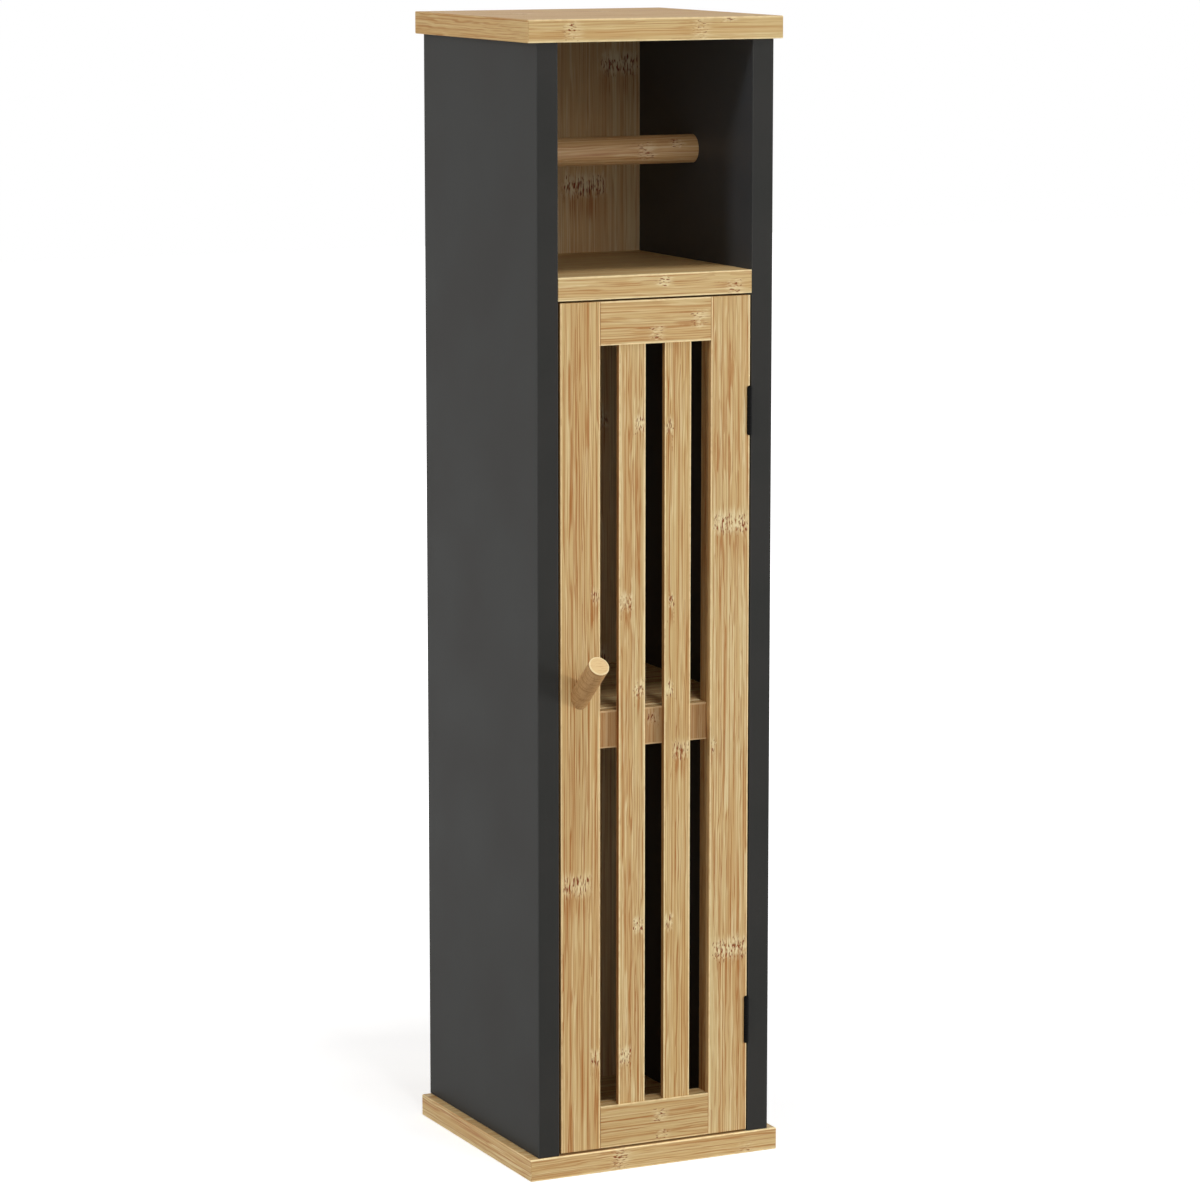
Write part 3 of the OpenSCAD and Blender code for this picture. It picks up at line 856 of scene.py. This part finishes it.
@dataclass(frozen=True)
class TurnedPeg:
    """The knob's bamboo peg: fine rings round its axis and a pale cut end.

    Attributes:
        tilt: How far the peg tilts up from straight out, in degrees.
        foot: The middle of its foot on the door's face, in millimetres.
        reach: Distance from the foot to the end face along the peg, in millimetres.
        end_depth: How far behind the end face the cut end's pattern starts, in millimetres.
        rings: The rings round its axis, which also give its relief.
        fibres: The fibres in its side.
        layers: The cane's layers in the cut end.
        eased: The share of the rim's colour over the distance from the peg's axis in millimetres.
        roughness: The main roughness.
        spread: How far the roughness goes to both sides of it.
        relief: Depth of the rings in metres.
        gloss: The shader's specular level.
        body: The main colour.
        ring: The colour of its rings and fibres.
        end: The colour of the cut end.
        pore: The colour of the layers in the cut end.
        rim: The colour of the painted highlight on the cut end's eased rim.
    """

    tilt: float
    foot: tuple[float, float, float]
    reach: float
    end_depth: float = 0.45
    rings: Streaks = Streaks((0.1, 0.1, 0.95), Step(0.46, 0.62, 0.0, 0.6))
    fibres: Streaks = Streaks((1.0, 1.0, 0.25), Step(0.5, 0.68, 0.0, 0.5))
    layers: Streaks = Streaks((0.12, 0.9, 0.0), Step(0.5, 0.66, 0.0, 0.75))
    eased: Step = Step(6.0, 6.6, 0.0, 0.7)
    roughness: float = 0.46
    spread: float = 0.06
    relief: float = 0.00008
    gloss: float = 0.2
    body: Colour = srgb(180, 141, 93)
    ring: Colour = srgb(146, 104, 62)
    end: Colour = srgb(236, 204, 150)
    pore: Colour = srgb(216, 176, 124)
    rim: Colour = srgb(255, 236, 186)

    def material(self, node: str) -> bpy.types.Material:
        """Makes the peg's finish for one node.

        Args:
            node: The node's name.

        Returns:
            The material.
        """
        material, graph = new_graph("bamboo_peg_" + node)
        place = self._peg_place(graph)
        rings = graph.stretched(place, self.rings)
        fibres = graph.stretched(place, self.fibres)
        colour = graph.blend(graph.ramp(rings, self.rings.share), self.body, self.ring)
        colour = graph.blend(graph.ramp(fibres, self.fibres.share), colour, self.ring)
        at_end = graph.math(Op.ABOVE, place[2], self.reach - self.end_depth)
        colour = graph.blend(at_end, colour, self._cut_end(graph, place))
        roughness = graph.sway(rings, self.roughness, self.spread)
        graph.surface(colour, roughness, rings, self.relief, self.gloss)
        return material

    def _peg_place(self, graph: Graph) -> Point:
        """Turns the row frame to the peg.

        Args:
            graph: The material's graph.

        Returns:
            The shaded point beside the peg's axis, over it and along it from the foot, in millimetres.
        """
        x, y, z = graph.millimetres()
        cos, sin = math.cos(math.radians(self.tilt)), math.sin(math.radians(self.tilt))
        outward = graph.minus(self.foot[1], y)
        upward = graph.minus(z, self.foot[2])
        along = graph.plus(graph.times(outward, cos), graph.times(upward, sin))
        over = graph.minus(graph.times(upward, cos), graph.times(outward, sin))
        return graph.minus(x, self.foot[0]), over, along

    def _cut_end(self, graph: Graph, place: Point) -> Socket:
        """Draws the cut end with the cane's layers and a painted highlight on its eased rim.

        Args:
            graph: The material's graph.
            place: The shaded point in the peg's own directions.

        Returns:
            The colour of the cut end.
        """
        side, over, _ = place
        layers = graph.stretched(place, self.layers)
        colour = graph.blend(graph.ramp(layers, self.layers.share), self.end, self.pore)
        radius = graph.math(Op.SQUARE_ROOT, graph.times_plus(side, side, graph.times(over, over)))
        # painted highlight round the cut end's eased rim
        return graph.blend(graph.ramp(radius, self.eased), colour, self.rim)


@dataclass(frozen=True)
class Charcoal:
    """Satin charcoal paint on a flat panel: faint mottling, fine orange peel and its own edge colour, a
    painted highlight where it is paler than the paint and painted shade where darker.

    Attributes:
        paint: The paint's colour.
        lighter: The colour of its paler clouds and brush marks.
        edge: The colour on the eased edges: a painted highlight where it is paler than the paint, painted
            shade where it is darker.
        gloss: The shader's specular level.
        roughness: The main roughness.
        suffix: What follows the node's name in the material's name.
        cloud_fineness: Clouds per millimetre.
        clouds: The share of the paler colour over the clouds' noise.
        peel_fineness: Dimples of the orange peel per millimetre.
        brush: The upright brush marks.
        edge_width: Width of the eased edges in millimetres.
        edge_share: The share of their own colour on them.
        spread: How far the roughness goes to both sides of the main one.
        relief: Depth of the orange peel in metres.
    """

    paint: Colour = srgb(49, 49, 47)
    lighter: Colour = srgb(53, 52, 50)
    edge: Colour = srgb(74, 74, 73)
    gloss: float = 0.07
    roughness: float = 0.5
    suffix: str = ""
    cloud_fineness: float = 0.012
    clouds: Step = Step(0.35, 0.65)
    peel_fineness: float = 0.9
    brush: Streaks = Streaks((0.5, 0.5, 0.01), Step(0.5, 0.75, 0.0, 0.25))
    edge_width: float = 0.9
    edge_share: float = 0.6
    spread: float = 0.04
    relief: float = 0.00003

    def material(self, node: str) -> bpy.types.Material:
        """Makes the paint for one node.

        Args:
            node: The node's name, whose box sets where the eased edges are.

        Returns:
            The material.
        """
        material, graph = new_graph("charcoal_" + node + self.suffix)
        place = graph.millimetres()
        spot = graph.vector(*place)
        cloud = graph.noise(spot, self.cloud_fineness, detail=3.0)
        peel = graph.noise(spot, self.peel_fineness)
        brush = graph.stretched(place, self.brush)
        colour = graph.blend(graph.ramp(cloud, self.clouds), self.paint, self.lighter)
        colour = graph.blend(graph.ramp(brush, self.brush.share), colour, self.lighter)
        # painted highlight on the eased edges where the edge colour is paler than the paint, painted shade
        # where it is darker
        edge = graph.arris(graph.gaps(place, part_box(node)), self.edge_width)
        colour = graph.blend(graph.times(edge, self.edge_share), colour, self.edge)
        roughness = graph.sway(cloud, self.roughness, self.spread)
        graph.surface(colour, roughness, peel, self.relief, self.gloss)
        return material


@dataclass(frozen=True)
class SharedFinish:
    """A finish whose one material is shared by all nodes that have it.

    Attributes:
        name: The material's name.
    """

    name: str

    def material(self, node: str) -> bpy.types.Material:
        """Makes the material for the first node and finds it again for the others.

        Args:
            node: The node's name, which makes no difference here.

        Returns:
            The material.
        """
        known = bpy.data.materials.get(self.name)
        if known:
            return known
        material, graph = new_graph(self.name)
        self.fill(graph)
        return material

    def fill(self, graph: Graph) -> None:
        """Fills the material's graph."""
        raise NotImplementedError


@dataclass(frozen=True)
class Metal(SharedFinish):
    """A coated or plated metal with fine scratches and rubbed places.

    Attributes:
        coat: The main colour.
        rubbed: The colour where it is rubbed.
        metallic: 1 for bare plating, 0 for paint.
        roughness: The main roughness.
        gloss: The shader's specular level.
        scratches: The scratches and rubbed places.
        grain_fineness: Grains of the coat per millimetre.
        spread: How far the roughness goes to both sides of the main one.
        relief: Depth of the grain in metres.
    """

    coat: Colour
    rubbed: Colour
    metallic: float
    roughness: float
    gloss: float = 0.5
    scratches: Streaks = Streaks((3.0, 3.0, 0.4), Step(0.52, 0.75, 0.0, 0.8), 3.0)
    grain_fineness: float = 6.0
    spread: float = 0.07
    relief: float = 0.00001

    def fill(self, graph: Graph) -> None:
        """Fills the material's graph.

        Args:
            graph: The graph.
        """
        place = graph.millimetres()
        scratches = graph.stretched(place, self.scratches)
        grain = graph.noise(graph.vector(*place), self.grain_fineness)
        colour = graph.blend(graph.ramp(scratches, self.scratches.share), self.coat, self.rubbed)
        roughness = graph.sway(scratches, self.roughness, self.spread)
        graph.surface(colour, roughness, grain, self.relief, self.gloss, self.metallic)


@dataclass(frozen=True)
class PlainWood(SharedFinish):
    """Plain light wood of the fluted dowels: straight fibres with short flecks.

    Attributes:
        base: The main colour.
        fleck: The colour of the flecks.
        flecks: The flecks along the dowels, which also give their relief.
        roughness: The main roughness.
        spread: How far the roughness goes to both sides of it.
        relief: Depth of the flecks in metres.
        gloss: The shader's specular level.
    """

    base: Colour = srgb(206, 176, 134)
    fleck: Colour = srgb(164, 124, 82)
    flecks: Streaks = Streaks((0.15, 1.2, 1.2), Step(0.5, 0.68, 0.0, 0.7), 3.0)
    roughness: float = 0.65
    spread: float = 0.05
    relief: float = 0.00005
    gloss: float = 0.2

    def fill(self, graph: Graph) -> None:
        """Fills the material's graph.

        Args:
            graph: The graph.
        """
        flecks = graph.stretched(graph.millimetres(), self.flecks)
        colour = graph.blend(graph.ramp(flecks, self.flecks.share), self.base, self.fleck)
        roughness = graph.sway(flecks, self.roughness, self.spread)
        graph.surface(colour, roughness, flecks, self.relief, self.gloss)


@dataclass(frozen=True)
class Moulded(SharedFinish):
    """A moulded or pressed dark body with a fine grain.

    Attributes:
        base: The main colour.
        speck: The colour of its grain.
        roughness: The main roughness.
        grain_fineness: Grains per millimetre.
        grains: The share of their colour over the grain's noise.
        spread: How far the roughness goes to both sides of the main one.
        relief: Depth of the grain in metres.
        gloss: The shader's specular level.
    """

    base: Colour
    speck: Colour
    roughness: float
    grain_fineness: float = 2.5
    grains: Step = Step(0.45, 0.7)
    spread: float = 0.05
    relief: float = 0.00004
    gloss: float = 0.3

    def fill(self, graph: Graph) -> None:
        """Fills the material's graph.

        Args:
            graph: The graph.
        """
        grain = graph.noise(graph.vector(*graph.millimetres()), self.grain_fineness, detail=3.0)
        colour = graph.blend(graph.ramp(grain, self.grains), self.base, self.speck)
        roughness = graph.sway(grain, self.roughness, self.spread)
        graph.surface(colour, roughness, grain, self.relief, self.gloss)


BLACK_HINGE = Metal("hinge_coat", srgb(17, 17, 17), srgb(28, 28, 28), 0.0, 0.55, 0.05)
ZINC_STEEL = Metal("zinc_plating", srgb(172, 174, 179), srgb(138, 140, 147), 1.0, 0.36)
DOWEL_WOOD = PlainWood("dowel_wood")
BLACK_PLASTIC = Moulded("catch_moulding", srgb(28, 28, 29), srgb(38, 38, 39), 0.55)
FERRITE = Moulded("ferrite", srgb(58, 58, 61), srgb(74, 73, 74), 0.7)


class Assembly:
    """Nodes that belong together and are dressed together."""

    def finishes(self) -> dict[str, Finish]:
        """Says which finish each node has."""
        raise NotImplementedError

    def dress(self, frame: dict) -> None:
        """Gives each node its finish.
        """
        for node, finish in self.finishes().items():
            materials = frame["nodes"][node].data.materials
            materials.clear()
            materials.append(finish.material(node))
            LOG.info("%s: %s", node, type(finish).__name__)


@dataclass
class Case(Assembly):
    """The boards, side panels, back panel and shelves, with the dowel that carries the roll in use.

    Attributes:
        inner_light_and_shade: The side panels' paint, copied paler and bluer for their inner faces as
            painted light, with painted shade on its edges and a little more gloss.
        lined_to: How far behind those faces a shallow recess still has that copy, in millimetres.
        lined_flat: Least share of a lined face's normal along X.
    """

    # the inner faces' paint: paler and bluer as painted light, darker on the edges as painted shade
    inner_light_and_shade: Charcoal = Charcoal(srgb(56, 59, 62), srgb(60, 62, 65), srgb(24, 24, 24), 0.21, 0.42, "_inside_light_and_shade")
    lined_to: float = 2.5
    lined_flat: float = 0.9

    def finishes(self) -> dict[str, Finish]:
        """Says which finish each of the case's nodes has.

        Returns:
            The finish by the node's name.
        """
        return {
            "top_board": self._top_board(),
            "base_board": self._base_board(),
            "niche_shelf": self._niche_shelf(),
            "inner_shelf": self._inner_shelf(),
            "back_panel": self._back_panel(),
            "roll_dowel": self._roll_dowel(),
            "left_panel": Charcoal(),
            "right_panel": Charcoal(),
        }

    def dress(self, frame: dict) -> None:
        """Gives each node its finish, and the side panels' inner faces the copy of their paint with painted
        light and shade.
        """
        super().dress(frame)
        for node in ("left_panel", "right_panel"):
            self._line(frame["nodes"][node])

    def _line(self, panel: bpy.types.Object) -> None:
        """Gives a side panel's inner face the paler, bluer copy of its paint, which is painted light, with
        painted shade on its edges.

        Args:
            panel: The side panel.
        """
        inner = min(abs(corner.x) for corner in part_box(panel.name)) * MM_PER_M
        panel.data.materials.append(self.inner_light_and_shade.material(panel.name))
        for face in panel.data.polygons:
            flat = abs(face.normal.x) > self.lined_flat
            if flat and abs(face.center.x) * MM_PER_M < inner + self.lined_to:
                face.material_index = 1

    def _top_board(self) -> Bamboo:
        """The top board, whose upper face has painted shade and whose ends are deeper in tone.

        Returns:
            Its finish.
        """
        front = front_of("top_board")
        return Bamboo(
            Axis.X,
            Axis.Y,
            seed=2.3,
            knots=(
                Knot(-64.7, front, 791.2, 8.0, 0.5),
                Knot(31.9, front, 792.0, 8.0, 0.5),
                Knot(53.2, front, 800.0, 4.0, 0.6),
                Knot(20.0, 40.0, 800.0, 10.0, 0.6),
                Knot(-52.0, 12.0, 800.0, 10.0, 0.6),
            ),
            side_grain=True,
            figure=0.6,
            gloss=0.03,
            tint=(1.0, 1.01, 1.02, 1.0),
            # painted shade on the upper face; the ends have a deeper tone of their own
            turned=(
                Turned(Axis.Z, (0.89, 0.83, 0.83, 1.0), Way.HIGH),
                Turned(Axis.X, (0.89, 0.83, 0.78, 1.0)),
            ),
        )

    def _base_board(self) -> Bamboo:
        """The base board, whose upper face has painted light.

        Returns:
            Its finish.
        """
        front = front_of("base_board")
        return Bamboo(
            Axis.X,
            Axis.Y,
            seed=5.1,
            knots=(
                Knot(-27.9, front, 9.0, 9.0, 0.75),
                Knot(70.0, front, 3.0, 5.0, 0.4),
                Knot(60.0, 20.0, 0.0, 12.0, 0.7),
            ),
            side_grain=True,
            figure=0.8,
            # painted light on the upper face, which lies in shade beside the side panels
            turned=(Turned(Axis.Z, grey(1.2), Way.HIGH),),
        )

    def _niche_shelf(self) -> Bamboo:
        """The niche's floor.

        Returns:
            Its finish.
        """
        front = front_of("niche_shelf")
        knots = (
            Knot(5.3, front, 622.5, 4.5, 0.8),
            Knot(59.5, front, 615.1, 6.0, 0.7),
            Knot(-30.0, 20.0, 627.0, 9.0, 0.6),
        )
        return Bamboo(Axis.X, Axis.Y, seed=7.7, knots=knots, figure=0.7)

    def _inner_shelf(self) -> Bamboo:
        """The cupboard's shelf, which is tinted paler and bluer all over.

        Returns:
            Its finish.
        """
        knots = (Knot(20.0, 0.0, 326.0, 9.0, 0.7), Knot(-44.0, -70.0, 320.0, 6.0, 0.7))
        return Bamboo(Axis.X, Axis.Y, seed=11.9, knots=knots, tint=(1.3, 1.33, 1.4, 1.0))

    def _back_panel(self) -> Bamboo:
        """The back panel, of quiet strips, with painted shade on its part in the niche that darkens towards
        the top.

        Returns:
            Its finish.
        """
        front, rear = front_of("back_panel"), rear_of("back_panel")
        return Bamboo(
            Axis.Z,
            Axis.X,
            seed=3.9,
            knots=(
                Knot(57.0, front, 759.6, 16.0),
                Knot(28.9, front, 673.5, 18.5),
                Knot(-34.0, front, 720.0, 14.0, 0.9),
                Knot(36.0, front, 505.0, 13.0, 0.8),
                Knot(28.0, front, 205.0, 14.0, 0.8),
                Knot(-20.0, front, 420.0, 13.0, 0.8),
                Knot(-50.0, front, 130.0, 14.0, 0.8),
                Knot(5.0, rear, 610.0, 14.0, 0.8),
                Knot(40.0, rear, 330.0, 14.0, 0.8),
            ),
            run=0.5,
            figure=0.55,
            tint=(1.18, 1.2, 1.38, 1.0),
            # painted shade: darker in the niche, and more towards the top under the top board
            painted_shade_steps=(Step(600.0, 625.0, 1.0, 0.88), Step(670.0, 780.0, 1.0, 0.68)),
        )

    def _roll_dowel(self) -> Bamboo:
        """The dowel for the roll, which is glossier than the boards.

        Returns:
            Its finish.
        """
        front = front_of("roll_dowel")
        knots = (
            Knot(32.3, front, 704.0, 7.0, 0.65),
            Knot(56.4, front, 711.0, 3.5, 0.65),
            Knot(-40.0, 6.0, 712.0, 6.0, 0.5),
        )
        return Bamboo(
            Axis.X, Axis.Z, seed=9.2, knots=knots, figure=0.65, gloss=0.5, tint=(1.0, 0.93, 0.96, 1.0)
        )


@dataclass
class Door(Assembly):
    """The slatted door: two stiles, three rails, two slats and the peg knob.

    Attributes:
        knob_tilt: The knob's upward tilt in degrees.
        knob_out: How far the middle of the knob's end stands out from the door, in millimetres.
        knob_rise: Height of the knob's foot over the door's middle, in millimetres.
        stile_edge: Tone of the stiles' cut sides.
        left_slat_edge: Tone of the left slat's cut sides.
        right_slat_edge: Tone of the right slat's cut sides.
    """

    knob_tilt: float = 41.0
    knob_out: float = 29.6
    knob_rise: float = 26.2
    stile_edge: Turned = Turned(Axis.X, (0.82, 0.69, 0.58, 1.0))
    left_slat_edge: Turned = Turned(Axis.X, (0.63, 0.44, 0.31, 1.0))
    right_slat_edge: Turned = Turned(Axis.X, (0.55, 0.4, 0.29, 1.0))

    def finishes(self) -> dict[str, Finish]:
        """Says which finish each of the door's nodes has.

        Returns:
            The finish by the node's name.
        """
        return {
            "latch_stile": self._latch_stile(),
            "hinge_stile": self._hinge_stile(),
            "top_rail": self._top_rail(),
            "bottom_rail": self._bottom_rail(),
            "middle_rail": self._middle_rail(),
            "left_slat": self._left_slat(),
            "right_slat": self._right_slat(),
            "knob": self._knob(),
        }

    def _latch_stile(self) -> Bamboo:
        """The upright with the knob.

        Returns:
            Its finish.
        """
        front = front_of("latch_stile")
        knots = (
            Knot(-44.0, front, 407.1, 4.5),
            Knot(-61.7, front, 205.1, 13.0),
            Knot(-45.0, front, 81.0, 4.5),
        )
        tint = (0.97, 0.93, 0.88, 1.0)
        return Bamboo(
            Axis.Z, Axis.X, seed=1.4, knots=knots, run=0.5, tint=tint, turned=(self.stile_edge,)
        )

    def _hinge_stile(self) -> Bamboo:
        """The upright with the hinges.

        Returns:
            Its finish.
        """
        front = front_of("hinge_stile")
        knots = (
            Knot(58.7, front, 451.3, 15.0),
            Knot(44.5, front, 295.9, 2.2),
            Knot(58.5, front, 149.1, 14.0),
        )
        return Bamboo(Axis.Z, Axis.X, seed=6.6, knots=knots, turned=(self.stile_edge,))

    def _top_rail(self) -> Bamboo:
        """The rail between the stiles at the top.

        Returns:
            Its finish.
        """
        front = front_of("top_rail")
        knots = (Knot(-0.1, front, 586.6, 5.0, 0.6), Knot(32.7, front, 595.4, 6.5, 0.65))
        return Bamboo(Axis.X, Axis.Z, seed=4.2, knots=knots, figure=0.65, joint=0.5)

    def _bottom_rail(self) -> Bamboo:
        """The rail between the stiles at the bottom.

        Returns:
            Its finish.
        """
        front = front_of("bottom_rail")
        knots = (Knot(3.8, front, 35.1, 5.0, 0.7), Knot(5.3, front, 20.9, 3.5, 0.6))
        tint = (0.93, 0.91, 0.88, 1.0)
        return Bamboo(Axis.X, Axis.Z, seed=8.3, knots=knots, figure=0.75, joint=0.5, tint=tint)

    def _middle_rail(self) -> Bamboo:
        """The rail behind the slats, whose grain is upright, with painted shade: a little on the whole rail
        and more on its front, which sits back between the slats.

        Returns:
            Its finish.
        """
        return Bamboo(
            Axis.Z,
            Axis.X,
            seed=10.7,
            knots=(Knot(0.9, front_of("middle_rail"), 318.0, 5.0, 0.6),),
            figure=0.6,
            edges=Axis.X,
            # painted shade: a little all over, more on the front between the slats
            tint=(0.93, 0.88, 0.86, 1.0),
            turned=(Turned(Axis.Y, (0.77, 0.7, 0.67, 1.0), Way.LOW),),
        )

    def _left_slat(self) -> Bamboo:
        """The slat on the knob's side.

        Returns:
            Its finish.
        """
        front = front_of("left_slat")
        knots = (
            Knot(-11.5, front, 523.8, 4.5),
            Knot(-21.5, front, 401.4, 5.5),
            Knot(-10.5, front, 339.4, 5.0),
            Knot(-12.0, front, 172.7, 4.5),
            Knot(-22.5, front, 80.1, 5.5),
        )
        return Bamboo(Axis.Z, Axis.X, seed=12.8, knots=knots, turned=(self.left_slat_edge,))

    def _right_slat(self) -> Bamboo:
        """The slat on the hinges' side.

        Returns:
            Its finish.
        """
        front = front_of("right_slat")
        knots = (
            Knot(10.5, front, 521.0, 3.5),
            Knot(12.9, front, 399.3, 2.0),
            Knot(11.4, front, 337.3, 3.5),
            Knot(20.8, front, 294.5, 7.0),
            Knot(11.4, front, 171.9, 3.5),
        )
        tint = (0.98, 0.97, 0.93, 1.0)
        return Bamboo(
            Axis.Z, Axis.X, seed=14.6, knots=knots, run=0.55, tint=tint, turned=(self.right_slat_edge,)
        )

    def _knob(self) -> TurnedPeg:
        """The knob, whose foot is on the latch stile's middle line.

        Returns:
            Its finish.
        """
        low, high = (corner * MM_PER_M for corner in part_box("latch_stile"))
        foot = ((low.x + high.x) / 2.0, low.y, (low.z + high.z) / 2.0 + self.knob_rise)
        return TurnedPeg(self.knob_tilt, foot, self.knob_out / math.cos(math.radians(self.knob_tilt)))


@dataclass
class Hardware(Assembly):
    """Hinges, magnetic catch, screws and dowels, by finish.

    Attributes:
        black: The hinges' nodes.
        plated: Screws and the plates of the catch.
        dowels: The glued dowels.
        plastic: The catch's housing.
        magnets: The catch's magnet.
    """

    black: tuple[str, ...] = (
        "upper_frame_leaf",
        "upper_door_leaf",
        "upper_hinge_pin",
        "lower_frame_leaf",
        "lower_door_leaf",
        "lower_hinge_pin",
        "frame_leaf_screws",
        "door_leaf_screws",
    )
    plated: tuple[str, ...] = (
        "knob_screw",
        "upper_pole_plate",
        "lower_pole_plate",
        "catch_screws",
        "strike_plate",
        "strike_screw",
        "base_screws",
        "back_screws",
    )
    dowels: tuple[str, ...] = ("case_dowels", "top_dowels", "door_dowels")
    plastic: tuple[str, ...] = ("catch_housing",)
    magnets: tuple[str, ...] = ("catch_magnet",)

    def finishes(self) -> dict[str, Finish]:
        """Says which finish each piece of hardware has.

        Returns:
            The finish by the node's name.
        """
        groups = (
            (BLACK_HINGE, self.black),
            (ZINC_STEEL, self.plated),
            (DOWEL_WOOD, self.dowels),
            (BLACK_PLASTIC, self.plastic),
            (FERRITE, self.magnets),
        )
        return {node: finish for finish, nodes in groups for node in nodes}


@dataclass(frozen=True)
class Lamp:
    """One white area lamp that is aimed at the cabinet.

    Attributes:
        name: The lamp's name.
        place: Where it stands, in metres.
        size: Its side length in metres.
        power: Its power in watts.
    """

    name: str
    place: tuple[float, float, float]
    size: float
    power: float


@dataclass
class Studio:
    """The pale floor, the white surroundings, the lamps and the camera.

    Attributes:
        aim: The point that the lamps are aimed at, in metres.
        floor_size: Side length of the floor in metres.
        floor_tones: The two greys of the floor's faint mottling.
        mottling: Patches of the mottling per millimetre.
        floor_glow: What the floor adds near the cabinet in the camera's eye alone, so that it shows pale.
        white_from: How far from the cabinet the floor starts to turn white, in millimetres.
        white_to: How far from it the floor is white, in millimetres.
        dome: Strength of the even light from all round.
        lamps: The area lamps.
        camera_place: Where the camera stands, in metres.
        camera_pitch: How far it looks down, in degrees.
        camera_yaw: How far it looks to the right of +Y, in degrees.
        lens: Its focal length in millimetres.
        sensor: Its sensor's width in millimetres.
    """

    aim: tuple[float, float, float] = (0.0, 0.0, 0.45)
    floor_size: float = 14.0
    floor_tones: tuple[Colour, Colour] = (grey(0.8), grey(0.83))
    mottling: float = 0.02
    floor_glow: float = 0.55
    white_from: float = 350.0
    white_to: float = 1400.0
    dome: float = 0.29
    lamps: tuple[Lamp, ...] = (
        Lamp("overhead", (0.0, -1.0, 4.0), 0.5, 38.0),
        Lamp("front", (0.0, -4.0, 1.6), 2.4, 18.4),
        Lamp("left", (-3.586, 0.4, 0.35), 1.0, 26.0),
        Lamp("left_front", (-3.4, -0.85, 2.3), 0.4, 34.5),
        Lamp("right", (3.118, -1.8, 0.45), 0.8, 60.0),
        Lamp("rear", (0.6, 4.0, 1.4), 2.0, 9.0),
    )
    camera_place: tuple[float, float, float] = (-1.360035, -2.841834, 0.904511)
    camera_pitch: float = 9.305
    camera_yaw: float = 25.617
    lens: float = 135.42
    sensor: float = 36.0

    def build(self) -> None:
        """Builds the whole studio."""
        self._floor()
        self._surroundings()
        for lamp in self.lamps:
            self._lamp(lamp)
        self._camera()
        bpy.context.scene.view_settings.view_transform = "Standard"
        LOG.info("studio: floor, surroundings, %d lamps, camera", len(self.lamps))

    def _floor(self) -> None:
        """Lays the pale floor, which catches the cabinet's shadow."""
        half = self.floor_size / 2.0
        corners = [(-half, -half, 0.0), (half, -half, 0.0), (half, half, 0.0), (-half, half, 0.0)]
        mesh = bpy.data.meshes.new("floor")
        mesh.from_pydata(corners, [], [(0, 1, 2, 3)])
        mesh.materials.append(self._floor_material())
        floor = bpy.data.objects.new("floor", mesh)
        bpy.context.scene.collection.objects.link(floor)

    def _floor_material(self) -> bpy.types.Material:
        """Makes the floor's finish.

        Returns:
            The material.
        """
        material, graph = new_graph("floor")
        spot = graph.vector(*graph.millimetres())
        patches = graph.ramp(graph.noise(spot, self.mottling, detail=3.0), Step(*NOISE_SPAN))
        matt = graph.result("BsdfDiffuse", graph.blend(patches, *self.floor_tones))
        distance = graph.add("VectorMath", operation="LENGTH")
        graph.feed(distance.inputs[0], spot)
        fade = Step(self.white_from, self.white_to, self.floor_glow, 1.0)
        strength = graph.times(graph.seen(), graph.ramp(distance.outputs["Value"], fade))
        glow = graph.result("Emission", grey(1.0), strength)
        graph.end("OutputMaterial", graph.result("AddShader", matt, glow))
        return material

    def _surroundings(self) -> None:
        """Sets the even light from all round, behind which the camera sees white."""
        world = bpy.data.worlds.new("studio")
        bpy.context.scene.world = world
        world.use_nodes = True
        graph = Graph(world.node_tree)
        strength = graph.choose(graph.seen(), self.dome, 1.0)
        graph.end("OutputWorld", graph.result("Background", grey(1.0), strength))

    def _lamp(self, lamp: Lamp) -> None:
        """Hangs one lamp.

        Args:
            lamp: The lamp.
        """
        data = bpy.data.lights.new(lamp.name, "AREA")
        data.size = lamp.size
        data.energy = lamp.power
        shown = bpy.data.objects.new(lamp.name, data)
        bpy.context.scene.collection.objects.link(shown)
        shown.location = lamp.place
        shown.rotation_euler = (Vector(self.aim) - Vector(lamp.place)).to_track_quat("-Z", "Y").to_euler()

    def _camera(self) -> None:
        """Places the camera, which looks at the front and the left side from a little above."""
        data = bpy.data.cameras.new("camera")
        data.lens = self.lens
        data.sensor_width = self.sensor
        camera = bpy.data.objects.new("camera", data)
        bpy.context.scene.collection.objects.link(camera)
        camera.location = self.camera_place
        camera.rotation_euler = (math.radians(90.0 - self.camera_pitch), 0.0, math.radians(-self.camera_yaw))
        bpy.context.scene.camera = camera


def main() -> None:
    """Loads the frame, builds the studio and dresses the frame."""
    logging.basicConfig(level=logging.INFO, format="%(name)s: %(message)s")
    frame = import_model()
    Studio().build()
    for assembly in (Case(), Door(), Hardware()):
        assembly.dress(frame)


if __name__ == "__main__":
    main()
